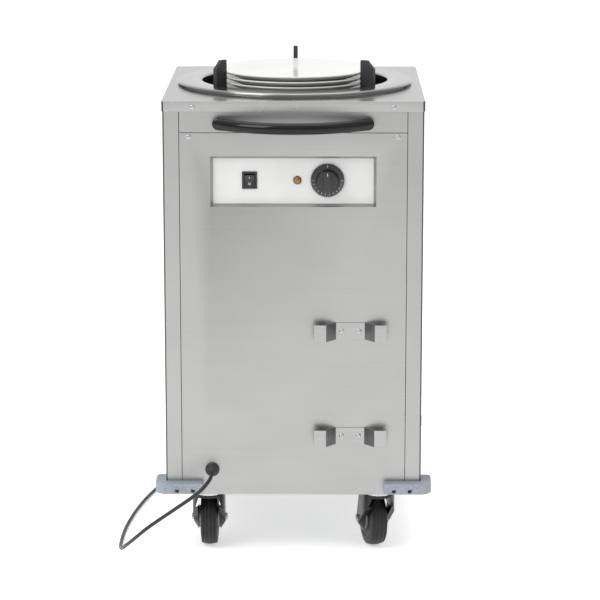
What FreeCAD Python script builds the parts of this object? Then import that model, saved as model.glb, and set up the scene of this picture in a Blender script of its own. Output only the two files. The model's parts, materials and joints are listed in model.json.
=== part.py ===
"""Heated plate dispenser cart: a steel cabinet on four casters with one round, self-levelling plate well.

Millimetres. X runs across, Y from front to back, Z up from the floor; the well's axis is X = Y = 0.
"""

import FreeCAD, Part
import math
import os

# ---------------------------------------------------------------- cabinet
cabinet_width = 450.0
cabinet_depth = 480.0
panel_drop = 5.0             # lower edge of the panels below the base pan
deck_height = 810.0          # top of the deck above the floor
sheet = 1.2                  # steel sheet of the panels
edge_radius = 4.0            # outer fold of the side panels
flange_width = 28.0          # strip that each side panel shows at the front and back
seam = 1.0                   # gap between neighbouring panels
fold_depth = 12.0            # inward folds that stiffen the panels

skirt_height = 18.0          # fold round the deck's edge
skirt_gap = 0.2              # between the skirt and the panels
skirt_edge_radius = 0.8      # top edge of the skirt
header_height = 52.8         # strip above the front panel, measured from the underside of the deck
lip_height = 22.0            # header's set-back lip behind the front panel
lip_overlap = 4.0
rear_apron_height = 29.0     # base pan's fold below the back panel

base_fold = 14.0
panel_fit = 0.2              # between the base pan and the panels round it

# ---------------------------------------------------------------- control panel
window_width = 286.0
window_height = 88.0
window_drop = 139.5          # window's centre below the deck
recess_depth = 8.0
recess_slope = 4.5           # how far each recess wall leans in over its depth
fascia_sheet = 2.0
fascia_margin = 7.0          # fascia's width behind the recess walls
box_depth = 36.0             # control box behind the fascia
control_rise = 1.5           # centre of the switch, lamp and knob above the window's
switch_x = -75.5
lamp_x = 7.0
knob_x = 59.0

bezel_width = 26.0
bezel_height = 30.0
bezel_thickness = 2.0
switch_body_inset = 2.5      # switch body's margin inside its bezel
switch_body_depth = 20.0
switch_wall = 1.4
switch_hole_gap = 0.2
rocker_gap = 0.4
rocker_dip = 1.5             # how much deeper the rocker's middle lies than its ends
rocker_rise = 1.5            # rocker's middle proud of the bezel
rocker_depth = 4.0           # rocker's ends behind the pivot
rocker_tilt = 8.0            # degrees either side of level
rocker_well_depth = 9.0

lamp_flange_radius = 7.2
lamp_flange_thickness = 1.5
lamp_dome_radius = 6.0
lamp_dome_height = 4.0
lamp_barrel_radius = 5.0
lamp_barrel_length = 20.0
lamp_hole_gap = 0.2

knob_skirt_radius = 29.0
knob_skirt_thickness = 3.5
knob_lift = 1.0              # knob's back in front of the fascia
knob_dome_radius = 19.4
knob_dome_height = 9.0
knob_dome_taper = 1.6
grip_width = 13.0
grip_height = 8.0            # grip bar above the dome
grip_round = 1.5
shaft_radius = 3.0
shaft_in_knob = 12.0
shaft_in_body = 16.0
shaft_fit = 0.05             # running clearance in the thermostat
shaft_hole_gap = 1.0         # round the shaft in the fascia
thermostat_size = 36.0
thermostat_depth = 25.0

# ---------------------------------------------------------------- plate well
ring_outer_radius = 211.0
ring_inner_radius = 166.5
ring_height = 8.5            # ring's top above the deck
ring_sheet = 1.5
ring_bead_radius = 2.5       # rolled outer edge
ring_foot_radius = 202.0     # spacer leg that stands on the deck
ring_lip_depth = 18.0        # inner lip below the ring's top
ring_corner = 3.0
tube_gap = 0.2               # between the ring's lip and the tube
tube_sheet = 1.2
tube_flange_width = 10.0     # flange by which the tube hangs on the deck
deck_hole_gap = 1.5          # between the tube and the hole in the deck
tube_rise = 86.2             # tube's lower end above the base pan
slot_width = 16.0
slot_rise = 20.8             # slots' lower ends above the tube's
slot_drop = 218.0            # their upper ends below the deck
anchor_width = 14.0
anchor_thickness = 3.0
anchor_drop = 24.0           # underside of the spring anchors below the deck
well_floor_sheet = 1.2
well_floor_overhang = 6.0
air_hole_radius = 14.0
air_hole_circle_radius = 70.0
air_hole_count = 6

guide_angles = {"rear": 90.0, "left": 210.0, "right": 330.0}
guide_turns = {"rear": 0.0, "left": 18.0, "right": 0.0}  # how each guide is set about its post
guide_length = 26.0          # from the plates outwards
guide_thickness = 8.0
guide_rise = 50.0            # guides' tops above the deck
guide_sink = 14.0            # their feet below it
guide_edge_radius = 1.5
guide_top_slope = 14.0       # fall of the guide's top towards its outer edge
post_radius = 4.0
post_inset = 6.0             # from the guide's outer end to its post
post_in_guide = 36.0
post_fit = 0.05
post_below_floor = 4.0
bracket_thickness = 3.0
bracket_width = 18.0
bracket_length = 24.0
stack_gap = 1.4              # between the plates and the guides
body_gap = 0.3               # between bodies that move on each other

# ---------------------------------------------------------------- plates and carrier
plate_radius = 135.0
plate_height = 22.0
plate_pitch = 9.2            # height that each plate adds to the stack
plate_rim = 3.5
plate_rim_bulge = 0.9        # how far the rim's edge is rounded outwards
plate_well_radius = 94.0
plate_foot_radius = 78.0
plate_foot_width = 6.0
plate_foot_height = 4.0
plate_count = 4
plate_rise = 29.0            # rim of the top plate above the deck
carrier_radius = 122.0
carrier_sheet = 2.0
carrier_lip = 10.0
carrier_hole_radius = 30.0
spider_drop = 232.0          # from the carrier's top to the spider's top
spider_radius = 116.0
spider_width = 12.0
spider_thickness = 4.0
leg_radius = 4.0
arm_reach = 188.0
arm_width = 10.0
arm_angles = (30.0, 150.0, 270.0)
spring_circle_radius = 180.5
spring_radius = 6.5
spring_wire = 1.6

element_radius = 4.0
element_circle_radius = 105.0
element_drop = 14.0          # centre of the heating element below the well's floor
element_gap_angle = 24.0     # opening of the element's loop, for its terminals
clip_width = 12.0
clip_angles = (90.0, 210.0, 330.0)
terminal_length = 26.0

# ---------------------------------------------------------------- handle, cleats, bumpers, fasteners
handle_half_span = 128.0     # from the middle to the centre of each foot
handle_reach = 70.0          # bar's centre line in front of the panel at its middle
handle_foot = 14.0           # bar's centre line in front of the panel at its ends
handle_drop = 37.5           # handle below the deck
handle_radius = 10.0
handle_end_radius = 10.8
handle_foot_radius = 8.5
handle_screw_radius = 2.5
handle_screw_length = 16.0
handle_screw_head_radius = 4.5
handle_screw_head_height = 3.0

cleat_x = 99.5
cleat_upper_rise = 292.0     # above the base pan
cleat_lower_rise = 103.0
cleat_sheet = 1.5
cleat_plate_width = 51.0
cleat_height = 30.0
cleat_stand_off = 23.0       # front of the flanges before the panel
cleat_spread = 18.0          # how far each web leans out
cleat_flange_width = 20.0
cleat_screw_spacing = 30.0

bumper_height = 20.0
bumper_proud = 18.5          # how far it stands out of the cabinet
bumper_front_leg = 84.0
bumper_side_leg = 62.0
bumper_corner_radius = 20.0
bumper_tip_radius = 8.0
bumper_edge_radius = 2.0
bumper_screw_insets = (48.0, 20.0)  # from the cabinet's sides
bumper_screw_rise = 6.0      # above the bumper's underside
bumper_screw_recess = 11.0
bumper_screw_hole_radius = 3.8
sunk_head_gap = 0.2

screw_radius = 2.1
screw_hole_radius = 2.3
screw_head_radius = 4.4
screw_head_height = 2.2
screw_length = 9.0
deck_screw_inset = 52.0      # from the cabinet's sides
deck_screw_drop = 10.0
panel_screw_inset = 45.0
panel_screw_drop = 7.0       # below the front panel's top

# ---------------------------------------------------------------- casters
caster_inset_x = 74.0        # swivel axis from the cabinet's sides
caster_inset_y = 28.0
wheel_radius = 50.0
wheel_trail = 36.0           # axle behind the swivel axis
tread_width = 26.0
tyre_width = 31.0
tread_crown = 1.5            # tread's middle above its edges
tread_round = 3.0            # from the tread's edge to its shoulder
cheek_step = 1.0             # shoulder's spread under the tread
tyre_gap = 2.0               # between the tyre and the fork's neck
tyre_bore = 20.0
hub_width = 38.0
axle_radius = 4.0
axle_fit = 0.05
fork_width = 57.0
fork_wall = 3.0
wheel_top_gap = 1.5          # between the tyre and the fork's crown
fork_crown_rear = 27.0       # crown's rear edge behind the swivel axis
fork_brow = 16.0             # height of the crown's front face
fork_shoulder = 30.0         # from the crown's top down to the straight part of the legs
crown_thickness = 4.0
fork_boss_radius = 9.0
guard_radius = 23.0          # cone that covers the wheel's bearing
guard_gap = 0.5
nut_radius = 6.5
nut_thickness = 3.5
race_radius = 26.0
race_height = 6.2
race_gap = 0.3
kingpin_radius = 5.0
kingpin_fit = 0.05
kingpin_head_radius = 9.0
kingpin_head_height = 4.0
caster_plate_width = 76.0
caster_plate_depth = 52.0
caster_plate_thickness = 3.0
caster_turns = {"front_left": 0.0, "front_right": 14.0, "rear_left": 172.0, "rear_right": 195.0}

# ---------------------------------------------------------------- mains lead
lead_radius = 3.3
gland_x = -143.0
gland_rise = 41.0            # above the base pan
gland_flange_radius = 12.5
gland_flange_thickness = 5.0
gland_chamfer = 2.0
gland_length = 28.0
gland_neck_radius = 9.5
gland_tip_radius = 5.5
gland_hole_radius = 8.5
gland_nut_radius = 12.0
gland_nut_thickness = 5.0
gland_thread_radius = 8.3
floor_gap = 0.2              # under the lead where it lies on the floor

# ---------------------------------------------------------------- worked out from the sizes above
half_width = cabinet_width / 2
half_depth = cabinet_depth / 2
axle_z = wheel_radius
crown_bottom = 2 * wheel_radius + wheel_top_gap
fork_top = crown_bottom + crown_thickness
caster_plate_z = fork_top + race_gap + race_height
base_height = caster_plate_z + caster_plate_thickness   # underside of the base pan
cabinet_bottom = base_height - panel_drop
front = -half_depth          # outer face of the front panels
under_deck = deck_height - sheet
header_bottom = under_deck - header_height
panel_top = header_bottom - seam
opening_half = half_width - flange_width   # inner edge of the side panels' flanges
panel_half = opening_half - seam
fascia_front = front + recess_depth
fascia_back = fascia_front + fascia_sheet
window_centre_z = deck_height - window_drop
control_z = window_centre_z + control_rise
handle_z = deck_height - handle_drop
cleat_upper_z = base_height + cleat_upper_rise
cleat_lower_z = base_height + cleat_lower_rise
bumper_bottom = base_height
bumper_screw_xs = [half_width - inset for inset in bumper_screw_insets]
bumper_screw_z = bumper_bottom + bumper_screw_rise
deck_screw_x = half_width - deck_screw_inset
deck_screw_z = deck_height - deck_screw_drop
panel_screw_x = half_width - panel_screw_inset
panel_screw_z = panel_top - panel_screw_drop
gland_z = base_height + gland_rise
tube_bottom = base_height + tube_rise
slot_bottom = tube_bottom + slot_rise
slot_top = deck_height - slot_drop
anchor_z = deck_height - anchor_drop
guide_top = deck_height + guide_rise
guide_bottom = deck_height - guide_sink
plate_top_z = deck_height + plate_rise
tube_inner = ring_inner_radius + ring_sheet + tube_gap
tube_outer = tube_inner + tube_sheet
guide_inner = plate_radius + plate_rim_bulge + stack_gap
post_circle = guide_inner + guide_length - post_inset
carrier_top = plate_top_z - plate_height - (plate_count - 1) * plate_pitch - body_gap
spider_top = carrier_top - spider_drop
caster_x = half_width - caster_inset_x
caster_y = half_depth - caster_inset_y
lead_rest_z = lead_radius + floor_gap
BIG = 1000.0                 # longer than any cut needs to be
overshoot = 1.0              # how far a hole's tool runs past the faces
near = 1e-6                  # two coordinates this close are the same

X_AXIS = FreeCAD.Vector(1, 0, 0)
Y_AXIS = FreeCAD.Vector(0, 1, 0)
Z_AXIS = FreeCAD.Vector(0, 0, 1)
ORIGIN = FreeCAD.Vector(0, 0, 0)


# ---------------------------------------------------------------- helpers
def vec(x, y, z):
    return FreeCAD.Vector(x, y, z)


def block(x0, x1, y0, y1, z0, z1):
    low_x, low_y = min(x0, x1), min(y0, y1)
    return Part.makeBox(abs(x1 - x0), abs(y1 - y0), z1 - z0, vec(low_x, low_y, z0))


def rounded_block(half_x, half_y, z0, z1, radius):
    """A block about the well's axis with rounded upright edges."""
    solid = block(-half_x, half_x, -half_y, half_y, z0, z1)
    upright = [e for e in solid.Edges if abs(e.Vertexes[0].Z - e.Vertexes[1].Z) > (z1 - z0) / 2]
    return solid.makeFillet(radius, upright)


def disc(radius, z0, z1, x=0.0, y=0.0):
    return Part.makeCylinder(radius, z1 - z0, vec(x, y, z0), Z_AXIS)


def bar_y(radius, x, z, y0, y1):
    """A round bar along Y."""
    return Part.makeCylinder(radius, y1 - y0, vec(x, y0, z), Y_AXIS)


def bar_x(radius, y, z, x0, x1):
    """A round bar along X."""
    return Part.makeCylinder(radius, x1 - x0, vec(x0, y, z), X_AXIS)


def outline(points, place):
    """A closed face; a point is (u, v), or (u, v, mid_u, mid_v) at the end of an arc through its middle."""
    edges = []
    for start, end in zip(points, points[1:] + points[:1]):
        here = place(start[0], start[1])
        there = place(end[0], end[1])
        if len(end) == 4:
            edges.append(Part.Arc(here, place(end[2], end[3]), there).toShape())
        else:
            edges.append(Part.LineSegment(here, there).toShape())
    return Part.Face(Part.Wire(edges))


def turned(points):
    """A solid of revolution about Z from an outline in radius and height."""
    return outline(points, lambda u, v: vec(u, 0, v)).revolve(ORIGIN, Z_AXIS, 360)


def turned_y(points, x, z):
    """A solid of revolution about a line along Y, from an outline in radius and Y."""
    return moved(outline(points, lambda u, v: vec(u, v, 0)).revolve(ORIGIN, Y_AXIS, 360), x, 0, z)


def slab(points, z0, z1):
    """An outline in plan, raised from z0 to z1."""
    return outline(points, lambda u, v: vec(u, v, z0)).extrude(vec(0, 0, z1 - z0))


def across(points, x0, x1):
    """An outline in Y and Z, carried from x0 to x1."""
    return outline(points, lambda u, v: vec(x0, u, v)).extrude(vec(x1 - x0, 0, 0))


def upwards(points, y0, y1):
    """An outline in X and Z, carried from y0 to y1."""
    return outline(points, lambda u, v: vec(u, y0, v)).extrude(vec(0, y1 - y0, 0))


def swung(shape, degrees, x=0.0, y=0.0):
    copy = shape.copy()
    copy.rotate(vec(x, y, 0), Z_AXIS, degrees)
    return copy


def moved(shape, x, y, z):
    copy = shape.copy()
    copy.translate(vec(x, y, z))
    return copy


def frustum(width0, height0, y0, width1, height1, y1, z):
    """A four-sided taper along Y between two rectangles about height z."""
    wires = []
    for width, height, y in ((width0, height0, y0), (width1, height1, y1)):
        corners = [vec(sx * width / 2, y, z + sz * height / 2)
                   for sx, sz in ((-1, -1), (1, -1), (1, 1), (-1, 1))]
        wires.append(Part.makePolygon(corners + corners[:1]))
    return Part.makeLoft(wires, True, True)


def joined(shapes):
    whole = shapes[0].multiFuse(list(shapes[1:])) if len(shapes) > 1 else shapes[0]
    return whole.removeSplitter()


def polar(radius, degrees):
    return radius * math.cos(math.radians(degrees)), radius * math.sin(math.radians(degrees))


# ---------------------------------------------------------------- cabinet panels
def cabinet_screws():
    """Places of the round-head screws: x, z and the outer face they sit on, at the front and at the back."""
    deck_face = half_depth + skirt_gap + sheet
    cleat_face = half_depth + cleat_sheet
    fronts = [(sx * deck_screw_x, deck_screw_z, deck_face) for sx in (-1, 1)]
    fronts += [(sx * panel_screw_x, panel_screw_z, half_depth) for sx in (-1, 1)]
    fronts += [(cleat_x + sx * cleat_screw_spacing / 2, z, cleat_face)
               for z in (cleat_upper_z, cleat_lower_z) for sx in (-1, 1)]
    backs = [(sx * deck_screw_x, deck_screw_z, deck_face) for sx in (-1, 1)]
    return fronts, backs


def drilled(shape, side):
    """The shape with the screws' holes of one side, side -1 at the front and 1 at the back."""
    places = cabinet_screws()[0 if side < 0 else 1]
    holes = [bar_y(screw_hole_radius, x, z, side * half_depth - 2 * screw_length,
                   side * half_depth + 2 * screw_length) for x, z, _ in places]
    holes += [bar_y(screw_hole_radius, sx * x, bumper_screw_z, side * half_depth - 2 * screw_length,
                    side * half_depth + 2 * screw_length) for x in bumper_screw_xs for sx in (-1, 1)]
    return shape.cut(Part.makeCompound(holes))


def side_panel(side):
    """A sheet folded round both corners, with a strip at the front and one at the back."""
    outer = rounded_block(half_width, half_depth, cabinet_bottom, under_deck, edge_radius)
    inner = rounded_block(half_width - sheet, half_depth - sheet, cabinet_bottom, under_deck,
                          edge_radius - sheet)
    keep = block(side * opening_half, side * (half_width + sheet), -half_depth - sheet,
                 half_depth + sheet, cabinet_bottom, under_deck)
    return drilled(drilled(outer.cut(inner).common(keep), -1), 1)


def top_pan():
    """The deck: a sheet with its edge folded down all round and a round hole for the well."""
    reach = skirt_gap + sheet
    outer = rounded_block(half_width + reach, half_depth + reach, deck_height - skirt_height,
                          deck_height, edge_radius + reach)
    rim = [e for e in outer.Edges if all(abs(v.Z - deck_height) < sheet / 2 for v in e.Vertexes)]
    outer = outer.makeFillet(skirt_edge_radius, rim)
    inner = rounded_block(half_width + skirt_gap, half_depth + skirt_gap,
                          deck_height - 2 * skirt_height, under_deck, edge_radius + skirt_gap)
    hole = disc(tube_outer + deck_hole_gap, under_deck - sheet, deck_height + sheet)
    return drilled(drilled(outer.cut(inner).cut(hole), -1), 1)


def header_panel():
    """The fixed strip above the front panel, with a lip set back behind that panel."""
    strip = block(-panel_half, panel_half, front, front + sheet, header_bottom, under_deck)
    lip = block(-panel_half, panel_half, front + sheet, front + 2 * sheet,
                header_bottom - lip_height, header_bottom + lip_overlap)
    top_fold = block(-panel_half, panel_half, front, front + fold_depth, under_deck - sheet, under_deck)
    holes = [bar_y(handle_screw_radius, sx * handle_half_span, handle_z, front - sheet, front + 2 * sheet)
             for sx in (-1, 1)]
    return drilled(joined([strip, lip, top_fold]).cut(Part.makeCompound(holes)), -1)


def recess(width, height, y0, y1):
    """The window's tapered space between two depths, drawn on past its ends where they lie outside."""
    def size(y):
        lean = 2 * recess_slope * (y - front) / recess_depth
        return width - lean, height - lean
    return frustum(*size(y0), y0, *size(y1), y1, window_centre_z)


def front_panel():
    """The lower front sheet: a window whose walls lean in, and folds at its sides and between the casters."""
    face = block(-panel_half, panel_half, front, front + sheet, cabinet_bottom, panel_top)
    sides = [block(sx * (panel_half - sheet), sx * panel_half, front, front + fold_depth,
                   cabinet_bottom, header_bottom - lip_height - seam) for sx in (-1, 1)]
    foot_x = caster_x - caster_plate_width / 2 - seam
    foot = block(-foot_x, foot_x, front, front + fold_depth, cabinet_bottom, cabinet_bottom + sheet)
    walls = recess(window_width + 2 * sheet, window_height + 2 * sheet, front, fascia_front)
    space = recess(window_width, window_height, front - sheet, fascia_front + sheet)
    gland_hole = bar_y(gland_hole_radius, gland_x, gland_z, front - sheet, front + 2 * sheet)
    return drilled(joined([face, foot, walls] + sides).cut(space).cut(gland_hole), -1)


def back_panel():
    """The sheet between the side panels' rear strips, folded in all round, with a lip behind the skirt."""
    low = cabinet_bottom + rear_apron_height + seam
    high = deck_height - skirt_height - seam / 2
    lip = block(-panel_half, panel_half, half_depth - 2 * sheet, half_depth - sheet, high - sheet,
                under_deck)
    outer = block(-panel_half, panel_half, half_depth - fold_depth, half_depth, low, high)
    inner = block(-panel_half + sheet, panel_half - sheet, half_depth - 2 * fold_depth,
                  half_depth - sheet, low + sheet, high - sheet)
    return drilled(joined([outer.cut(inner), lip]), 1)


def base_pan():
    """The tray that carries the casters, its edges folded up, with an apron at the back."""
    half_x = half_width - sheet - panel_fit
    half_y = half_depth - fold_depth - panel_fit
    tray = block(-half_x, half_x, -half_y, half_y, base_height, base_height + base_fold)
    inside = block(-half_x + sheet, half_x - sheet, -half_y + sheet, half_y - sheet,
                   base_height + sheet, base_height + 2 * base_fold)
    strip_x = panel_half - sheet - panel_fit
    floor_front = block(-strip_x, strip_x, front + 2 * sheet, -half_y, base_height, base_height + sheet)
    floor_back = block(-strip_x, strip_x, half_y, half_depth - 2 * sheet, base_height, base_height + sheet)
    apron_top = cabinet_bottom + rear_apron_height
    apron = block(-panel_half, panel_half, half_depth - sheet, half_depth, cabinet_bottom, apron_top)
    step = block(-strip_x, strip_x, half_depth - 2 * sheet, half_depth - sheet, base_height,
                 base_height + sheet)
    return drilled(joined([tray.cut(inside), floor_front, floor_back, apron, step]), 1)


# ---------------------------------------------------------------- control panel
def fascia():
    """The plate behind the window, with openings for the switch, the lamp and the knob's shaft."""
    width = window_width - 2 * recess_slope + 2 * fascia_margin
    height = window_height - 2 * recess_slope + 2 * fascia_margin
    low = window_centre_z - height / 2
    plate = block(-width / 2, width / 2, fascia_front, fascia_back, low, low + height)
    half_x = bezel_width / 2 - switch_body_inset + switch_hole_gap
    half_z = bezel_height / 2 - switch_body_inset + switch_hole_gap
    switch_hole = block(switch_x - half_x, switch_x + half_x, fascia_front - sheet, fascia_back + sheet,
                        control_z - half_z, control_z + half_z)
    lamp_hole = bar_y(lamp_barrel_radius + lamp_hole_gap, lamp_x, control_z, fascia_front - sheet,
                      fascia_back + sheet)
    shaft_hole = bar_y(shaft_radius + shaft_hole_gap, knob_x, control_z, fascia_front - sheet,
                       fascia_back + sheet)
    return plate.cut(switch_hole).cut(lamp_hole).cut(shaft_hole)


def control_box():
    """The tray behind the fascia that keeps the wiring apart from the hot well."""
    width = window_width + 2 * fascia_margin
    height = window_height + fascia_margin
    low = window_centre_z - height / 2
    outer = block(-width / 2, width / 2, fascia_back, fascia_back + box_depth, low, low + height)
    inner = block(-width / 2 + sheet, width / 2 - sheet, fascia_back - sheet,
                  fascia_back + box_depth - sheet, low + sheet, low + height - sheet)
    return outer.cut(inner)


def switch_housing():
    """The rocker switch's bezel and body, with a well that the rocker sits in."""
    half_x, half_z = bezel_width / 2, bezel_height / 2
    bezel_front = fascia_front - bezel_thickness
    bezel = block(switch_x - half_x, switch_x + half_x, bezel_front, fascia_front,
                  control_z - half_z, control_z + half_z)
    body_x, body_z = half_x - switch_body_inset, half_z - switch_body_inset
    body = block(switch_x - body_x, switch_x + body_x, bezel_front, bezel_front + switch_body_depth,
                 control_z - body_z, control_z + body_z)
    well_x, well_z = body_x - switch_wall, body_z - switch_wall
    well = block(switch_x - well_x, switch_x + well_x, bezel_front - sheet,
                 bezel_front + rocker_well_depth, control_z - well_z, control_z + well_z)
    return joined([bezel, body]).cut(well)


def rocker():
    """The rocker, dished at its middle and tipped with its lower half pressed in."""
    half_x = bezel_width / 2 - switch_body_inset - switch_wall - rocker_gap
    half_z = bezel_height / 2 - switch_body_inset - switch_wall - 2 * rocker_gap
    middle = fascia_front - bezel_thickness - rocker_rise
    pivot_y = fascia_front
    ends = middle - rocker_dip
    points = [(ends, -half_z), (middle, 0), (ends, half_z), (pivot_y, half_z),
              (pivot_y, -half_z, pivot_y + rocker_depth, 0)]
    shape = across(points, switch_x - half_x, switch_x + half_x)
    shape.rotate(vec(0, pivot_y, 0), X_AXIS, rocker_tilt)
    return moved(shape, 0, 0, control_z)


def lamp():
    """The amber signal lamp: a low dome on a flange, with its barrel behind."""
    flange_front = fascia_front - lamp_flange_thickness
    top = flange_front - lamp_dome_height
    side = lamp_dome_radius * math.sin(math.radians(45))
    dome_mid = flange_front - lamp_dome_height * math.sin(math.radians(60))
    half = [(0, top), (lamp_dome_radius, flange_front, side, dome_mid), (lamp_flange_radius, flange_front),
            (lamp_flange_radius, fascia_front), (lamp_barrel_radius, fascia_front),
            (lamp_barrel_radius, fascia_front + lamp_barrel_length), (0, fascia_front + lamp_barrel_length)]
    return turned_y(half, lamp_x, control_z)


def knob():
    """The thermostat knob: a flat skirt, a low dome and a grip bar across it."""
    back = fascia_front - knob_lift
    skirt = back - knob_skirt_thickness
    top = skirt - knob_dome_height
    half = [(0, back), (knob_skirt_radius, back), (knob_skirt_radius, skirt), (knob_dome_radius, skirt),
            (knob_dome_radius - knob_dome_taper, top), (0, top)]
    body = turned_y(half, 0, 0)
    reach = knob_dome_radius - knob_dome_taper
    bar = block(-grip_width / 2, grip_width / 2, top - grip_height, skirt, -reach, reach)
    ends = [e for e in bar.Edges if all(abs(v.Y - (top - grip_height)) < sheet for v in e.Vertexes)]
    bar = bar.makeFillet(grip_round, ends)
    bore = bar_y(shaft_radius, 0, 0, back - shaft_in_knob, back)
    return moved(joined([body, bar]).cut(bore), knob_x, 0, control_z)


def thermostat_shaft():
    back = fascia_front - knob_lift
    return bar_y(shaft_radius, knob_x, control_z, back - shaft_in_knob, fascia_back + shaft_in_body)


def thermostat_body():
    """The thermostat behind the fascia, bored for the knob's shaft."""
    half = thermostat_size / 2
    case = block(knob_x - half, knob_x + half, fascia_back, fascia_back + thermostat_depth,
                 control_z - half, control_z + half)
    bore = bar_y(shaft_radius + shaft_fit, knob_x, control_z, fascia_back - sheet,
                 fascia_back + shaft_in_body + body_gap)
    return case.cut(bore)


# ---------------------------------------------------------------- plate well
def well_ring():
    """The pressed ring round the well: a rolled outer edge, a leg on the deck and a lip into the tube."""
    top = deck_height + ring_height
    under = top - ring_sheet
    bead_centre = ring_outer_radius - ring_bead_radius
    corner = ring_inner_radius + ring_corner
    bend = ring_corner * (1 - math.cos(math.radians(45)))
    lip_low = top - ring_lip_depth
    lip_outer = ring_inner_radius + ring_sheet
    leg_inner = ring_foot_radius - ring_sheet
    return turned([
        (corner, top, ring_inner_radius + bend, top - bend), (bead_centre, top),
        (bead_centre, top - 2 * ring_bead_radius, ring_outer_radius, top - ring_bead_radius),
        (bead_centre, under), (ring_foot_radius, under), (ring_foot_radius, deck_height),
        (leg_inner, deck_height), (leg_inner, under), (lip_outer, under), (lip_outer, lip_low),
        (ring_inner_radius, lip_low), (ring_inner_radius, top - ring_corner)])


def well_tube():
    """The tube that holds the stack: hung on the deck by its flange, slotted for the carrier's arms."""
    flange_top = deck_height + sheet
    wall = turned([(tube_inner, tube_bottom), (tube_outer, tube_bottom), (tube_outer, deck_height),
                   (tube_outer + tube_flange_width, deck_height),
                   (tube_outer + tube_flange_width, flange_top), (tube_inner, flange_top)])
    for angle in arm_angles:
        slot = block(tube_inner - tube_sheet, tube_outer + tube_sheet, -slot_width / 2, slot_width / 2,
                     slot_bottom, slot_top)
        wall = wall.cut(swung(slot, angle))
    anchors = []
    for angle in arm_angles:
        tab = block(tube_inner, spring_circle_radius + spring_radius, -anchor_width / 2, anchor_width / 2,
                    anchor_z, anchor_z + anchor_thickness)
        anchors.append(swung(tab.cut(disc(tube_inner + tube_sheet / 2, 0, BIG)), angle))
    return joined([wall] + anchors)


def well_floor():
    """The disc under the tube, with holes for warm air and for the guides' posts."""
    plate = disc(tube_outer + well_floor_overhang, tube_bottom - well_floor_sheet, tube_bottom)
    holes = []
    for i in range(air_hole_count):
        x, y = polar(air_hole_circle_radius, (i + 0.5) * 360 / air_hole_count)
        holes.append(disc(air_hole_radius, tube_bottom - sheet * 2, tube_bottom + sheet, x, y))
    for angle in guide_angles.values():
        x, y = polar(post_circle, angle)
        holes.append(disc(post_radius + post_fit, tube_bottom - sheet * 2, tube_bottom + sheet, x, y))
    return plate.cut(Part.makeCompound(holes))


def post_brackets():
    """Three tabs on the tube's wall that carry the upper ends of the guides' posts."""
    tabs = []
    top = guide_bottom - body_gap
    for angle in guide_angles.values():
        tab = block(tube_inner - bracket_length, tube_inner + tube_sheet, -bracket_width / 2,
                    bracket_width / 2, top - bracket_thickness, top)
        tab = tab.common(disc(tube_inner, 0, BIG))
        tab = tab.cut(disc(post_radius + post_fit, top - 2 * bracket_thickness, top + sheet, post_circle, 0))
        tabs.append(swung(tab, angle))
    return Part.makeCompound(tabs)


def guide_blade(name):
    """A guide: a black blade that stands on a post and points at the plates, its top falling outwards."""
    half = guide_thickness / 2
    outer = guide_inner + guide_length
    low = guide_top - guide_top_slope
    points = [(guide_inner, guide_bottom), (outer, guide_bottom), (outer, low),
              (outer - guide_length / 2, guide_top), (guide_inner, guide_top)]
    blade = upwards(points, -half, half)
    top_edges = [e for e in blade.Edges if min(v.Z for v in e.Vertexes) > low - near
                 and abs(e.Vertexes[0].Y - e.Vertexes[1].Y) < near]
    blade = blade.makeFillet(guide_edge_radius, top_edges)
    blade = blade.cut(disc(post_radius, guide_bottom - overshoot, guide_bottom + post_in_guide,
                           post_circle, 0))
    blade = swung(blade, guide_turns[name], post_circle, 0)
    return swung(blade, guide_angles[name])


def guide_post(name):
    x, y = polar(post_circle, guide_angles[name])
    return disc(post_radius, tube_bottom - well_floor_sheet - post_below_floor,
                guide_bottom + post_in_guide, x, y)


def heating_element():
    """An open loop of sheathed heating rod on three clips under the well's floor, its ends turned down."""
    z = tube_bottom - well_floor_sheet - element_drop
    start = element_gap_angle / 2
    section = Part.Face(Part.Wire(Part.makeCircle(element_radius, vec(element_circle_radius, 0, z), Y_AXIS)))
    loop = swung(section, start - 90).revolve(ORIGIN, Z_AXIS, 360 - element_gap_angle)
    pieces = [loop]
    for angle in (start - 90, -start - 90):
        x, y = polar(element_circle_radius, angle)
        pieces.append(disc(element_radius, z - terminal_length, z, x, y))
        pieces.append(Part.makeSphere(element_radius, vec(x, y, z)))
    for angle in clip_angles:
        clip = block(-clip_width / 2, clip_width / 2, -clip_width / 2, clip_width / 2, z,
                     tube_bottom - well_floor_sheet)
        pieces.append(swung(moved(clip, element_circle_radius, 0, 0), angle))
    return joined(pieces)


# ---------------------------------------------------------------- plates and carrier
def plate(number):
    """A coupe plate, number 1 on top; its foot stands in the well of the plate below."""
    lift = 0 if number == 1 else body_gap
    base = plate_top_z - plate_height - (number - 1) * plate_pitch - lift
    foot_inner = plate_foot_radius - plate_foot_width
    rim_under = plate_height - plate_rim
    slope_start = plate_well_radius + plate_rim
    rim_mid = plate_radius + plate_rim_bulge
    points = [(0, plate_foot_height), (foot_inner, plate_foot_height), (foot_inner, 0),
              (plate_foot_radius, 0), (plate_foot_radius, plate_foot_height),
              (slope_start, plate_foot_height), (plate_radius, rim_under),
              (plate_radius, plate_height, rim_mid, plate_height - plate_rim / 2),
              (plate_well_radius, plate_pitch), (0, plate_pitch)]
    return moved(turned(points), 0, 0, base)


def carrier_plate():
    """The round tray that the stack stands on, its edge turned down."""
    shell = turned([(carrier_hole_radius, carrier_top - carrier_sheet), (carrier_hole_radius, carrier_top),
                    (carrier_radius, carrier_top), (carrier_radius, carrier_top - carrier_lip),
                    (carrier_radius - carrier_sheet, carrier_top - carrier_lip),
                    (carrier_radius - carrier_sheet, carrier_top - carrier_sheet)])
    return shell


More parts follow.
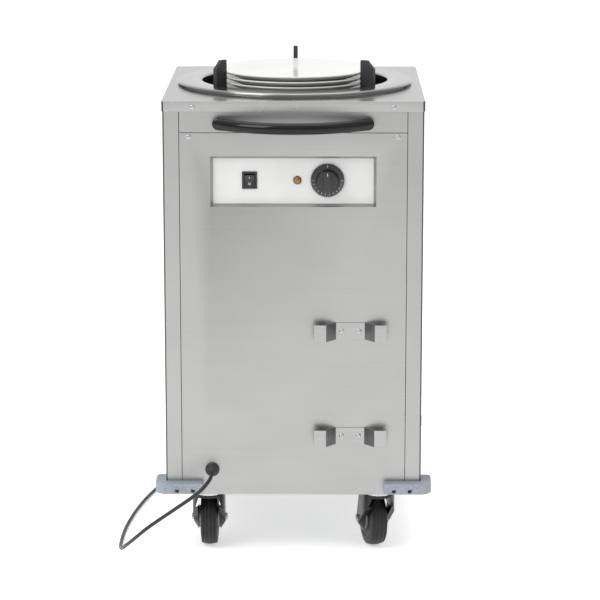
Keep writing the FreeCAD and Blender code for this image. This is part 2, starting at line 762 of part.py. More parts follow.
def carrier_frame():
    """Three legs down to a ring whose arms reach through the tube's slots to the springs."""
    low = spider_top - spider_thickness
    ring = disc(spider_radius + spider_width / 2, low, spider_top)
    ring = ring.cut(disc(spider_radius - spider_width / 2, low - sheet, spider_top + sheet))
    pieces = [ring]
    for angle in arm_angles:
        arm = block(spider_radius, arm_reach, -arm_width / 2, arm_width / 2, low, spider_top)
        leg = disc(leg_radius, low, carrier_top - carrier_sheet, spider_radius, 0)
        pieces += [swung(arm, angle), swung(leg, angle)]
    return joined(pieces)


def carrier_springs():
    """Three draw springs, as sleeves of their outer size, from the arms up to the tube's anchors."""
    sleeves = []
    for angle in arm_angles:
        x, y = polar(spring_circle_radius, angle)
        sleeve = disc(spring_radius, spider_top, anchor_z, x, y)
        bore = disc(spring_radius - spring_wire, spider_top - overshoot, anchor_z + overshoot, x, y)
        sleeves.append(sleeve.cut(bore))
    return Part.makeCompound(sleeves)


# ---------------------------------------------------------------- handle, cleats, bumpers, fasteners
def handle():
    """A bow-shaped bar with round ends, on two short feet against the header."""
    end_y, mid_y = front - handle_foot, front - handle_reach
    path = Part.Arc(vec(-handle_half_span, end_y, handle_z), vec(0, mid_y, handle_z),
                    vec(handle_half_span, end_y, handle_z)).toShape()
    tangent = path.tangentAt(path.FirstParameter)
    section = Part.Wire(Part.makeCircle(handle_radius, path.Vertexes[0].Point, tangent))
    bow = Part.Wire([path]).makePipeShell([section], True, False)
    pieces = [bow]
    for sx in (-1, 1):
        x = sx * handle_half_span
        pieces.append(Part.makeSphere(handle_end_radius, vec(x, end_y, handle_z)))
        pieces.append(bar_y(handle_foot_radius, x, handle_z, end_y, front))
    whole = joined(pieces)
    holes = [bar_y(handle_screw_radius, sx * handle_half_span, handle_z,
                   front + sheet - handle_screw_length, front + sheet) for sx in (-1, 1)]
    return whole.cut(Part.makeCompound(holes))


def handle_screws():
    """The two screws that hold the handle from inside the header."""
    back = front + sheet
    screws = []
    for sx in (-1, 1):
        x = sx * handle_half_span
        shank = bar_y(handle_screw_radius, x, handle_z, back - handle_screw_length, back)
        head = bar_y(handle_screw_head_radius, x, handle_z, back, back + handle_screw_head_height)
        screws.append(joined([shank, head]))
    return Part.makeCompound(screws)


def cleat(z):
    """A strip bent like a hat: a plate on the panel, two leaning webs and two flanges for the lead."""
    half = cleat_plate_width / 2
    face = front - cleat_stand_off
    lean = math.hypot(cleat_spread, cleat_stand_off)
    bend = cleat_sheet * (lean - cleat_spread) / cleat_stand_off   # keeps the leaning web one sheet thick
    outer = half + cleat_spread
    tip = outer + cleat_flange_width
    right = [(half, front), (half - bend, front - cleat_sheet)]
    right_outer = [(outer, face + cleat_sheet), (tip, face + cleat_sheet), (tip, face),
                   (outer - bend, face)]
    points = [right[0]] + right_outer + [right[1]]
    left = [(-u, v) for u, v in reversed(points)]
    strip = slab(points + left, z - cleat_height / 2, z + cleat_height / 2)
    strip = moved(strip, cleat_x, 0, 0)
    holes = [bar_y(screw_hole_radius, cleat_x + sx * cleat_screw_spacing / 2, z, face, front + sheet)
             for sx in (-1, 1)]
    return strip.cut(Part.makeCompound(holes))


def bumper(sx, sy):
    """A moulded corner: a long leg across the face, a shorter one along the side, held by two sunk screws."""
    outer_x, outer_y = half_width + bumper_proud, half_depth + bumper_proud
    inner_x, inner_y = half_width, half_depth
    round_in = bumper_corner_radius * (1 - math.cos(math.radians(45)))
    tip_y = outer_y - bumper_side_leg
    tip_in = bumper_tip_radius * (1 - math.cos(math.radians(45)))
    points = [(outer_x - bumper_front_leg, inner_y), (outer_x - bumper_front_leg, outer_y),
              (outer_x - bumper_corner_radius, outer_y),
              (outer_x, outer_y - bumper_corner_radius, outer_x - round_in, outer_y - round_in),
              (outer_x, tip_y + bumper_tip_radius),
              (outer_x - bumper_tip_radius, tip_y, outer_x - tip_in, tip_y + tip_in),
              (inner_x, tip_y), (inner_x, inner_y)]
    mapped = [tuple(c * (sx, sy)[i % 2] for i, c in enumerate(p)) for p in points]
    high = bumper_bottom + bumper_height
    solid = slab(mapped, bumper_bottom, high)
    rims = [e for e in solid.Edges if level(e) and not inner_edge(e, inner_x, inner_y)]
    solid = solid.makeFillet(bumper_edge_radius, rims)
    face = sy * outer_y
    for x in bumper_screw_xs:
        recess_end = face - sy * bumper_screw_recess
        sink = bar_y(bumper_screw_hole_radius, sx * x, bumper_screw_z, min(face, recess_end),
                     max(face, recess_end))
        through = bar_y(screw_hole_radius, sx * x, bumper_screw_z, min(face, sy * inner_y),
                        max(face, sy * inner_y))
        solid = solid.cut(sink).cut(through)
    return solid


def level(edge):
    """True for an edge whose ends are at one height."""
    return abs(edge.Vertexes[0].Z - edge.Vertexes[-1].Z) < near


def inner_edge(edge, inner_x, inner_y):
    """True for an edge of a bumper that lies against the cabinet."""
    on_x = all(abs(abs(v.X) - inner_x) < near for v in edge.Vertexes)
    on_y = all(abs(abs(v.Y) - inner_y) < near for v in edge.Vertexes)
    return on_x or on_y


def screw(x, z, face, side, radius, head_radius):
    """A round-head screw whose head sits on a face of the front, side -1, or the back, side 1."""
    sink = head_radius * math.sin(math.radians(45))
    rise = screw_head_height * math.sin(math.radians(60))
    half = [(0, screw_head_height), (head_radius, 0, sink, rise), (radius, 0), (radius, -screw_length),
            (0, -screw_length)]
    points = [tuple(c if i % 2 == 0 else face + side * c for i, c in enumerate(p)) for p in half]
    return turned_y(points, x, z)


def panel_screws():
    """The round-head screws of the deck, the panels and the cleats."""
    fronts, backs = cabinet_screws()
    screws = [screw(x, z, side * face, side, screw_radius, screw_head_radius)
              for side, places in ((-1, fronts), (1, backs)) for x, z, face in places]
    return Part.makeCompound(screws)


def bumper_screws():
    """Two sunk screws in each bumper."""
    face = half_depth + bumper_proud - bumper_screw_recess
    return Part.makeCompound([
        screw(sx * x, bumper_screw_z, sy * face, sy, screw_radius, bumper_screw_hole_radius - sunk_head_gap)
        for sx in (-1, 1) for sy in (-1, 1) for x in bumper_screw_xs])


# ---------------------------------------------------------------- casters
def caster_place(name):
    sx = -1 if name.endswith("left") else 1
    sy = -1 if name.startswith("front") else 1
    return sx * caster_x, sy * caster_y


def placed(shape, name):
    """A caster's piece, built about the swivel axis with its wheel behind, set in its corner."""
    x, y = caster_place(name)
    return moved(swung(shape, caster_turns[name]), x, y, 0)


def caster_plate(name):
    """The fixed top of a caster: plate, ball race and king pin in one riveted piece."""
    x, y = caster_place(name)
    plate_solid = block(-caster_plate_width / 2, caster_plate_width / 2, -caster_plate_depth / 2,
                        caster_plate_depth / 2, caster_plate_z, base_height)
    race = disc(race_radius, fork_top + race_gap, caster_plate_z)
    pin = disc(kingpin_radius, crown_bottom - race_gap, caster_plate_z)
    head = disc(kingpin_head_radius, crown_bottom - race_gap - kingpin_head_height,
                crown_bottom - race_gap)
    return moved(joined([plate_solid, race, pin, head]), x, y, 0)


def caster_fork():
    """The swivelling fork: a round crown, sloping shoulders and two rimmed legs, each with a cone."""
    half = fork_width / 2
    inner_x = hub_width / 2 + guard_gap
    boss_side = fork_boss_radius * math.sin(math.radians(45))
    profile = [(-half, fork_top), (fork_crown_rear, fork_top), (wheel_trail + fork_boss_radius, axle_z),
               (wheel_trail - boss_side, axle_z - boss_side, wheel_trail + boss_side, axle_z - boss_side),
               (-half, fork_top - fork_brow)]
    body = across(profile, -half, half)
    neck = tyre_width / 2 + tyre_gap
    shoulder_z = fork_top - fork_shoulder
    inside = [(neck, crown_bottom), (half - fork_wall, shoulder_z), (half - fork_wall, 0),
              (fork_wall - half, 0), (fork_wall - half, shoulder_z), (-neck, crown_bottom)]
    back_of_rim = moved(across(profile, -half, half), 0, fork_wall, 0)
    hollow = upwards(inside, -half, 2 * wheel_radius).common(back_of_rim)
    lane = block(-inner_x, inner_x, -2 * half, 2 * wheel_radius, 0, shoulder_z)
    lane_top = upwards([(neck, crown_bottom), (inner_x, shoulder_z), (-inner_x, shoulder_z),
                        (-neck, crown_bottom)], -2 * half, 2 * wheel_radius)
    plan = joined([disc(half, 0, BIG), block(-half, half, 0, 2 * wheel_radius, 0, BIG)])
    shell = body.cut(hollow).cut(lane).cut(lane_top).common(plan)
    pieces = [shell]
    for sx in (-1, 1):
        cone = Part.makeCone(guard_radius, fork_boss_radius, half - inner_x,
                             vec(sx * inner_x, wheel_trail, axle_z), vec(sx, 0, 0))
        pieces.append(cone)
    whole = joined(pieces)
    axle_hole = bar_x(axle_radius, wheel_trail, axle_z, -half - overshoot, half + overshoot)
    pin_hole = disc(kingpin_radius + kingpin_fit, crown_bottom - overshoot, fork_top + overshoot)
    return whole.cut(axle_hole).cut(pin_hole)


def caster_axle():
    """The bolt through the fork with a six-sided nut at each end."""
    reach = fork_width / 2 + nut_thickness
    shaft = bar_x(axle_radius, wheel_trail, axle_z, -reach, reach)
    corners = [polar(nut_radius, 60 * i) for i in range(6)]
    nut_face = [(wheel_trail + a, axle_z + b) for a, b in corners]
    nuts = [across(nut_face, *sorted((sx * fork_width / 2, sx * reach))) for sx in (-1, 1)]
    return joined([shaft] + nuts)


def tyre():
    """The wheel's body and tread, crowned, with sides dished round the hub."""
    w, t = tyre_width / 2, tread_width / 2
    bulge = wheel_radius - (w - t)
    cheek = (wheel_radius + tyre_bore) / 2
    shoulder = t - tread_round
    points = [(tyre_bore, -w), (cheek, -w), (bulge, -t - cheek_step), (wheel_radius - tread_crown, -shoulder),
              (wheel_radius - tread_crown, shoulder, wheel_radius, 0), (bulge, t + cheek_step), (cheek, w),
              (tyre_bore, w)]
    solid = outline(points, lambda u, v: vec(v, 0, u)).revolve(ORIGIN, X_AXIS, 360)
    return moved(solid, 0, wheel_trail, axle_z)


def hub():
    """The wheel's bush, a little wider than the tyre, running on the axle."""
    half = hub_width / 2
    core = bar_x(tyre_bore, wheel_trail, axle_z, -half, half)
    bore = bar_x(axle_radius + axle_fit, wheel_trail, axle_z, -half - overshoot, half + overshoot)
    return core.cut(bore)


# ---------------------------------------------------------------- mains lead
coil_x = 0.0
coil_y = 300.0
coil_radius = 46.5           # first half turn
coil_pitch = 7.4             # between neighbouring turns
coil_layer = 7.2             # between the two layers
half_turns_in = 5
half_turns_out = 4
coil_samples = 24            # points on each half turn where the gap is measured
lead_run_out = 19.0          # straight out of the gland

lead_points = [
    (gland_x, front - gland_length, gland_z), (gland_x, front - gland_length - lead_run_out, gland_z),
    (-148, -306, 153), (-160, -321, 145.5), (-179, -331, 133.5), (-203, -337, 118.5), (-229, -339, 100.5),
    (-254, -333, 80), (-275, -320, 58), (-292, -297, 37), (-303, -266, 19), (-309, -228, 7),
    (-311, -180, lead_rest_z), (-310, -119, lead_rest_z), (-305, -54, lead_rest_z),
    (-297, 12, lead_rest_z), (-286, 77, lead_rest_z), (-272, 140, lead_rest_z),
    (-255, 200, lead_rest_z), (-233, 256, lead_rest_z), (-199, 303, lead_rest_z),
    (-152, 333, lead_rest_z), (-100, 344, lead_rest_z), (-50, coil_y + coil_radius, lead_rest_z),
    (coil_x - 2 * lead_radius, coil_y + coil_radius, lead_rest_z)]
arc_share = 0.45             # of the shorter run that each arc takes up

plug_relief_length = 44.0
plug_relief_radius = 3.4     # where the lead enters it
plug_relief_end_radius = 4.8
plug_length = 36.0
plug_width = 25.0
plug_thickness = 21.0
plug_round = 3.0
blade_spacing = 12.7
blade_thickness = 1.5
blade_width = 6.3
blade_length = 17.0
earth_radius = 2.4
earth_length = 20.0
earth_drop = 4.5             # earth pin below the plug's middle
blade_rise = 4.5             # blades above it


def rounded_route(points):
    """Straight runs joined by tangent arcs, each as large as its two runs allow."""
    corners = [vec(*p) for p in points]
    edges, radii, cursor = [], [], corners[0]
    for before, corner, after in zip(corners, corners[1:], corners[2:]):
        back, ahead = before - corner, after - corner
        cut = arc_share * min(back.Length, ahead.Length)
        back.normalize()
        ahead.normalize()
        half_turn = (math.pi - back.getAngle(ahead)) / 2
        radius = cut / math.tan(half_turn)
        inwards = back + ahead
        inwards.normalize()
        start, end = corner + back * cut, corner + ahead * cut
        middle = corner + inwards * (radius / math.cos(half_turn) - radius)
        edges += [Part.LineSegment(cursor, start).toShape(), Part.Arc(start, middle, end).toShape()]
        radii.append(radius)
        cursor = end
    edges.append(Part.LineSegment(cursor, corners[-1]).toShape())
    return Part.Wire(edges), radii


def tube(path, radius):
    """A round solid along a path, from a section square to the path's start."""
    first = path.OrderedEdges[0]
    section = Part.Wire(Part.makeCircle(radius, first.valueAt(first.FirstParameter),
                                        first.tangentAt(first.FirstParameter)))
    return path.makePipeShell([section], True, False)


def report_tube(name, solid, path):
    expected = math.pi * lead_radius ** 2 * path.Length
    print(f"{name}: path {path.Length:.0f} mm, volume {solid.Volume:.0f} against {expected:.0f} mm3")


def lead():
    """The free lead: out of the gland, down to the floor and round behind the cart to its coil."""
    path, radii = rounded_route(lead_points)
    solid = tube(path, lead_radius)
    print("lead's radii:", " ".join(f"{r:.0f}" for r in radii))
    report_tube("lead", solid, path)
    return solid


def coil_path():
    """Half turns that spiral in on the floor, climb one layer and spiral out again on top."""
    diameter = 2 * lead_radius
    y, z, side = coil_y + coil_radius, lead_rest_z, 1
    edges = [Part.LineSegment(vec(coil_x - diameter, y, z), vec(coil_x, y, z)).toShape()]
    inner = coil_radius - half_turns_in * coil_pitch / 2
    turns = [(coil_radius - i * coil_pitch / 2, 0.0) for i in range(half_turns_in)]
    turns.append((inner, coil_layer))
    turns += [(inner + (i + 1) * coil_pitch / 2, 0.0) for i in range(half_turns_out)]
    for radius, climb in turns:
        start = vec(coil_x, y, z)
        end = vec(coil_x, y - 2 * side * radius, z + climb)
        reach = (end - start).Length / 2
        middle = (start + end) * 0.5 + vec(side * reach, 0, 0)
        edges.append(Part.Arc(start, middle, end).toShape())
        y, z, side = end.y, end.z, -side
    edges.append(Part.LineSegment(vec(coil_x, y, z), vec(coil_x + diameter, y, z)).toShape())
    return Part.Wire(edges), vec(coil_x + diameter, y, z)


def least_gap(path):
    """The least distance between points of the path over a quarter turn apart, less the lead's diameter."""
    points, along, travelled = [], [], 0.0
    for edge in path.OrderedEdges:
        piece = edge.discretize(coil_samples)
        for i, point in enumerate(piece):
            points.append(point)
            along.append(travelled + edge.Length * i / (coil_samples - 1))
        travelled += edge.Length
    apart = math.pi / 2 * (coil_radius - half_turns_in * coil_pitch / 2)
    least = min(a.distanceToPoint(b) for i, a in enumerate(points) for j, b in enumerate(points[:i])
                if along[i] - along[j] > apart)
    return least - 2 * lead_radius


def lead_coil():
    """The rest of the lead, wound flat in two layers close behind the cart."""
    path, _ = coil_path()
    solid = tube(path, lead_radius)
    report_tube("coil", solid, path)
    print(f"coil's least gap to itself: {least_gap(path):.2f} mm")
    return solid


def gland():
    """The strain relief in the front panel: a round flange, a tapering snout and a nut inside."""
    tip = front - gland_length
    flange = front - gland_flange_thickness
    thread_end = front + sheet + 2 * gland_nut_thickness
    nut_end = front + sheet + gland_nut_thickness
    neck = flange - gland_flange_thickness
    half = [(0, tip), (gland_tip_radius, tip), (gland_neck_radius, neck), (gland_neck_radius, flange),
            (gland_flange_radius - gland_chamfer, flange), (gland_flange_radius, flange + gland_chamfer),
            (gland_flange_radius, front), (gland_thread_radius, front),
            (gland_thread_radius, front + sheet), (gland_nut_radius, front + sheet),
            (gland_nut_radius, nut_end), (gland_thread_radius, nut_end),
            (gland_thread_radius, thread_end), (0, thread_end)]
    return turned_y(half, gland_x, gland_z)


def plug():
    """The plug at the coil's end: a flared relief, a moulded body, two blades and an earth pin."""
    _, start = coil_path()
    middle_radius = plug_relief_radius + (plug_relief_end_radius - plug_relief_radius) / 4
    half = [(0, 0), (0, plug_relief_radius),
            (plug_relief_length, plug_relief_end_radius, plug_relief_length / 2, middle_radius),
            (plug_relief_length, 0)]
    relief = outline(half, lambda u, v: vec(u, v, 0)).revolve(ORIGIN, X_AXIS, 360)
    relief.translate(start)
    x0 = start.x + plug_relief_length
    x1 = x0 + plug_length
    body = block(x0, x1, start.y - plug_width / 2, start.y + plug_width / 2,
                 start.z - plug_thickness / 2, start.z + plug_thickness / 2)
    along = [e for e in body.Edges if abs(e.Vertexes[0].X - e.Vertexes[1].X) > plug_length / 2]
    body = body.makeFillet(plug_round, along)
    low_z, high_z = start.z + blade_rise - blade_width / 2, start.z + blade_rise + blade_width / 2
    blade_ys = [start.y + side * blade_spacing / 2 for side in (-1, 1)]
    blades = [block(x1 - overshoot, x1 + blade_length, y - blade_thickness / 2, y + blade_thickness / 2,
                    low_z, high_z) for y in blade_ys]
    earth = bar_x(earth_radius, start.y, start.z - earth_drop, x1 - overshoot, x1 + earth_length)
    return joined([relief, body, earth] + blades)


# ---------------------------------------------------------------- the nodes
def all_nodes():
    nodes = {
        "top_pan": top_pan(), "side_panel_left": side_panel(-1), "side_panel_right": side_panel(1),
        "header_panel": header_panel(), "front_panel": front_panel(), "back_panel": back_panel(),
        "base_pan": base_pan(), "fascia": fascia(), "control_box": control_box(),
        "switch_housing": switch_housing(), "rocker": rocker(), "lamp": lamp(), "knob": knob(),
        "thermostat_shaft": thermostat_shaft(), "thermostat_body": thermostat_body(),
        "well_ring": well_ring(), "well_tube": well_tube(), "well_floor": well_floor(),
        "post_brackets": post_brackets(), "heating_element": heating_element(),
        "carrier_plate": carrier_plate(), "carrier_frame": carrier_frame(),
        "carrier_springs": carrier_springs(), "handle": handle(), "handle_screws": handle_screws(),
        "cleat_upper": cleat(cleat_upper_z), "cleat_lower": cleat(cleat_lower_z),
        "panel_screws": panel_screws(), "bumper_screws": bumper_screws(),
        "gland": gland(), "lead": lead(), "lead_coil": lead_coil(), "plug": plug()}
    for name in guide_angles:
        nodes[f"guide_{name}"] = guide_blade(name)
        nodes[f"guide_post_{name}"] = guide_post(name)
    for number in range(1, plate_count + 1):
        nodes[f"plate_{number}"] = plate(number)
    for i, sy in enumerate((-1, 1)):
        for j, sx in enumerate((-1, 1)):
            place = ("front", "rear")[i] + "_" + ("left", "right")[j]
            nodes[f"bumper_{place}"] = bumper(sx, sy)
    nodes["caster_plates"] = Part.makeCompound([caster_plate(name) for name in caster_turns])
    for name in caster_turns:
        nodes[f"fork_{name}"] = placed(Part.makeCompound([caster_fork(), caster_axle()]), name)
        nodes[f"tyre_{name}"] = placed(tyre(), name)
        nodes[f"hub_{name}"] = placed(hub(), name)
    return nodes


os.makedirs("parts", exist_ok=True)
for node, shape in all_nodes().items():
    if not shape.isValid() or not shape.Solids or min(s.Volume for s in shape.Solids) <= 0:
        print("unsound:", node, shape.isValid(), [round(s.Volume) for s in shape.Solids])
    shape.exportStep(f"parts/{node}.step")
print(len(os.listdir("parts")), "parts")
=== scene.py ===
import json
import math
import bmesh
import bpy
import numpy as np
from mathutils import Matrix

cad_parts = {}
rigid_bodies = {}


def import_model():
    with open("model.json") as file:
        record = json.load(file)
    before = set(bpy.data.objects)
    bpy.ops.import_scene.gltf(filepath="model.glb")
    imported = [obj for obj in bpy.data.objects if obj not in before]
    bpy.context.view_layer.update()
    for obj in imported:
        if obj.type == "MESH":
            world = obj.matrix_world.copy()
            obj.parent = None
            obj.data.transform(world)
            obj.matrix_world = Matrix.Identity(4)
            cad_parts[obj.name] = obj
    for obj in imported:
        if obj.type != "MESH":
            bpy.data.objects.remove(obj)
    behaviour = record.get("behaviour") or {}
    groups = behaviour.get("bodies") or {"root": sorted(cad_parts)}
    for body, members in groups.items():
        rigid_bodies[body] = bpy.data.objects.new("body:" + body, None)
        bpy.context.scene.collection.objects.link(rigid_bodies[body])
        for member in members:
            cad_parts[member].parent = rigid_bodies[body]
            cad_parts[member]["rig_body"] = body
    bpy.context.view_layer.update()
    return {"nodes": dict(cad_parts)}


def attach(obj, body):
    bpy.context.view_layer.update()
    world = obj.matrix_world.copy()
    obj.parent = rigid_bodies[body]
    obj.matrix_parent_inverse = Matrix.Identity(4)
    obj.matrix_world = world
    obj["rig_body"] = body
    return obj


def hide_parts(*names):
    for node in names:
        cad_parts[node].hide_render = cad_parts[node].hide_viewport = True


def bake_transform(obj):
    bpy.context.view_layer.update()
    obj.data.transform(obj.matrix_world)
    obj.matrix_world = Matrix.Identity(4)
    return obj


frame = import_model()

print("frame read:", len(frame["nodes"]), "nodes")


def hexColour(text):  # sRGB to linear: c / 12.92 up to 0.04045, above it ((c + 0.055) / 1.055) ^ 2.4
    parts = [int(text[i:i + 2], 16) / 255 for i in (1, 3, 5)]
    return tuple(c / 12.92 if c <= 0.04045 else ((c + 0.055) / 1.055) ** 2.4 for c in parts) + (1.0,)


def addNode(tree, kind, links=None, values=None, **settings):  # one node with its settings, values and links
    node = tree.nodes.new(kind)
    for name, value in settings.items():
        setattr(node, name, value)
    for name, value in (values or {}).items():
        node.inputs[name].default_value = value
    for name, socket in (links or {}).items():
        tree.links.new(socket, node.inputs[name])
    return node


def link(name, data):  # an object at the origin, unturned and unscaled
    obj = bpy.data.objects.new(name, data)
    bpy.context.scene.collection.objects.link(obj)
    return obj


# camera: far off and a little above the deck; it looks down to where the photograph's level, shifted camera saw
view = {"place": (0.0503, -4.562, 1.4116), "down": 12.39, "roundLeft": 0.513, "lens": 152.64}
cameraData = bpy.data.cameras.new("camera")
cameraData.lens = view["lens"]
cameraData.sensor_width = 36
cameraData.clip_end = 80
camera = link("camera", cameraData)
camera.location = view["place"]
camera.rotation_euler = (math.radians(90 - view["down"]), 0, math.radians(view["roundLeft"]))
bpy.context.scene.camera = camera
bpy.context.scene.view_settings.view_transform = "Standard"
print("camera placed")


grainBand = {"tint": (0.35, 0.65), "sway": (0.3, 0.7)}  # the part of a noise's range that is spread out


def finish(name, colour, grains=(), turned=False, **values):
    # a Principled surface. Each grain is a noise with cells of some mm, or of some mm along X, Y and Z, that
    # tints the colour towards a second one, sways the roughness and lifts the surface by some mm. turned
    # measures the cells from the well's axis outwards, as on a spun piece.
    material = bpy.data.materials.new(name)
    material.use_nodes = True
    tree = material.node_tree
    tree.nodes.clear()
    shader = addNode(tree, "ShaderNodeBsdfPrincipled", values={"Base Color": hexColour(colour), **values})
    addNode(tree, "ShaderNodeOutputMaterial", {"Surface": shader.outputs[0]})
    place = addNode(tree, "ShaderNodeTexCoord").outputs["Object"]
    if turned:
        flat = addNode(tree, "ShaderNodeVectorMath", {0: place}, {1: (1, 1, 0)}, operation="MULTIPLY")
        reach = addNode(tree, "ShaderNodeVectorMath", {0: flat.outputs[0]}, operation="LENGTH")
        parts = addNode(tree, "ShaderNodeSeparateXYZ", {0: place})
        joined = addNode(tree, "ShaderNodeCombineXYZ", {"X": reach.outputs["Value"], "Z": parts.outputs["Z"]})
        place = joined.outputs[0]
    tint, rough, normal = None, None, None
    for grain in grains:
        scale = [1000 / cell for cell in np.broadcast_to(grain["cell"], 3)]
        mapped = addNode(tree, "ShaderNodeMapping", {"Vector": place}, {"Scale": scale})
        noise = addNode(tree, "ShaderNodeTexNoise", {"Vector": mapped.outputs[0]},
                        {"Scale": 1.0, "Detail": grain.get("detail", 2.0)})
        if "to" in grain:
            low, high = grain.get("band", grainBand["tint"])
            share = addNode(tree, "ShaderNodeMapRange", {"Value": noise.outputs[0]},
                            {"From Min": low, "From Max": high, "To Max": grain["tint"]})
            mix = addNode(tree, "ShaderNodeMix", {0: share.outputs[0]},
                          {6: hexColour(colour), 7: hexColour(grain["to"])}, data_type="RGBA")
            if tint:
                tree.links.new(tint, mix.inputs[6])
            tint = mix.outputs[2]
        if "sway" in grain:
            low, high = grainBand["sway"]
            sway = addNode(tree, "ShaderNodeMapRange", {"Value": noise.outputs[0]},
                           {"From Min": low, "From Max": high, "To Min": -grain["sway"], "To Max": grain["sway"]})
            total = addNode(tree, "ShaderNodeMath", {0: sway.outputs[0]}, {1: values["Roughness"]})
            if rough:
                tree.links.new(rough, total.inputs[1])
            rough = total.outputs[0]
        if "lift" in grain:
            bump = addNode(tree, "ShaderNodeBump", {"Height": noise.outputs[0]}, {"Distance": grain["lift"] / 1000})
            if normal:
                tree.links.new(normal, bump.inputs["Normal"])
            normal = bump.outputs[0]
    for socket, source in (("Base Color", tint), ("Roughness", rough), ("Normal", normal)):
        if source:
            tree.links.new(source, shader.inputs[socket])
    return material


# PVC-sheathed flexible lead: extruded, so smooth and satin, with a faint dust haze
pvcLead = finish("extrudedBlackPvc", "#17181A", [dict(cell=9, to="#2A2B2D", tint=0.5, sway=0.06),
                 dict(cell=1.2, lift=0.03)], **{"Roughness": 0.42, "IOR": 1.53})

# lead: the route's points as in the part's source, but up to 10 mm lower along the first 0.3 m, where the looking
# down of the camera tells; then a flat coil of half turns in two layers
leadFacts = {"width": 6.6, "length": 2.26, "floor": 3.5, "coilStart": 346.5, "coilRadius": 46.5, "pitch": 7.4,
             "layer": 7.2, "turnPoints": 16, "lowTurns": 5, "highRadius": 28.0, "highTurns": 4, "plugX": 6.6,
             "inPlug": 6.0}
leadRoute = [(-143, -268, 156), (-143, -287, 155.5), (-148, -306, 151), (-159, -321, 141), (-178, -331, 128.5),
             (-202, -337, 113.5), (-228, -338, 95.5), (-254, -332, 75.5), (-275, -319, 54), (-292, -296, 34),
             (-303, -266, 17.5), (-309, -228, 7)]
leadRoute += [(x, y, leadFacts["floor"]) for x, y in (
    (-311, -180), (-310, -119), (-305, -54), (-297, 12), (-286, 77), (-272, 140), (-255, 200), (-233, 256),
    (-199, 303), (-152, 333), (-100, 344), (-50, 346.5), (-6.6, 346.5))]
halfTurns = [(leadFacts["coilRadius"] - i * leadFacts["pitch"] / 2, 0) for i in range(leadFacts["lowTurns"])]
halfTurns += [(leadFacts["highRadius"], leadFacts["layer"])]
halfTurns += [(leadFacts["highRadius"] + (i + 1) * leadFacts["pitch"] / 2, 0) for i in range(leadFacts["highTurns"])]
turnY, turnZ, side = leadFacts["coilStart"], leadFacts["floor"], 1
for reach, climb in halfTurns:  # x = side r sin t, y = start - side r (1 - cos t), r widened so the spline keeps r
    wide = side * reach / math.cos(math.pi / leadFacts["turnPoints"])
    share = (np.arange(leadFacts["turnPoints"] / 2) + 0.5) / (leadFacts["turnPoints"] / 2)
    middle = turnY - side * reach
    leadRoute += [(wide * math.sin(math.pi * s), middle + wide * math.cos(math.pi * s), turnZ + climb * s)
                  for s in share]
    turnY, turnZ, side = turnY - 2 * side * reach, turnZ + climb, -side
plugStart = (leadFacts["plugX"], turnY, turnZ)
leadRoute += [(0, turnY, turnZ), plugStart, (plugStart[0] + leadFacts["inPlug"], turnY, turnZ)]

leadCurve = bpy.data.curves.new("leadFlex", "CURVE")
leadCurve.dimensions = "3D"
spline = leadCurve.splines.new("NURBS")
spline.points.add(len(leadRoute) - 1)
spline.points.foreach_set("co", [c for x, y, z in leadRoute for c in (x / 1000, y / 1000, z / 1000, 1)])
spline.order_u = 3
spline.use_endpoint_u = True
leadCurve.resolution_u = 8
leadCurve.bevel_depth = leadFacts["width"] / 2000
leadCurve.bevel_resolution = 3
leadCurve.use_fill_caps = True
leadCurve.materials.append(pvcLead)
leadFlex = link("leadFlex", leadCurve)
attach(leadFlex, "cabinet")
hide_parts("lead", "lead_coil")
print("lead laid:", len(leadRoute), "points")


def fullTurn(count):  # angles spread evenly over one turn
    return np.linspace(0, 2 * math.pi, count, endpoint=False)


def turnedBy(u, v, turn):  # the point or points (u, v) turned about the origin
    return u * math.cos(turn) - v * math.sin(turn), u * math.sin(turn) + v * math.cos(turn)


def roundedLine(corners, steps=5):  # (u, v, r): a corner with a third number becomes an arc of that radius
    points = np.array([c[:2] for c in corners], float)
    line = []
    for i, corner in enumerate(corners):
        if len(corner) < 3:
            line.append(points[i])
            continue
        radius = corner[2]
        a, b = points[i - 1] - points[i], points[(i + 1) % len(points)] - points[i]
        a, b = a / np.linalg.norm(a), b / np.linalg.norm(b)
        half = math.acos(np.clip(a @ b, -1, 1)) / 2
        centre = points[i] + (a + b) / np.linalg.norm(a + b) * radius / math.sin(half)
        start = points[i] + a * radius / math.tan(half) - centre
        end = points[i] + b * radius / math.tan(half) - centre
        swing = math.pi - 2 * half
        share = np.linspace(0, 1, steps + 1)[:, None]
        line.extend(centre + (np.sin((1 - share) * swing) * start + np.sin(share * swing) * end) / math.sin(swing))
    return np.array(line)


def roundedBox(width, height, radius, steps):  # an oblong about the origin, its corners rounded
    spots = ((-1, -1), (1, -1), (1, 1), (-1, 1))
    return roundedLine([(s * width / 2, t * height / 2, radius) for s, t in spots], steps)


def mirrored(half):  # corners, then the same corners backwards on the other side of v = 0
    return half + [(corner[0], -corner[1], *corner[2:]) for corner in reversed(half)]


def grid(points, wrapU=False, wrapV=False, capped=False):  # quads between neighbouring rows and columns
    rows, columns = points.shape[:2]
    i, j = np.meshgrid(np.arange(rows - (not wrapU)), np.arange(columns - (not wrapV)), indexing="ij")
    nextI, nextJ = (i + 1) % rows, (j + 1) % columns
    faces = np.stack([i * columns + j, nextI * columns + j, nextI * columns + nextJ, i * columns + nextJ], -1)
    faces = faces.reshape(-1, 4).tolist()
    if capped:
        faces += [list(range(columns)), list(range((rows - 1) * columns, rows * columns))]
    return points.reshape(-1, 3), faces


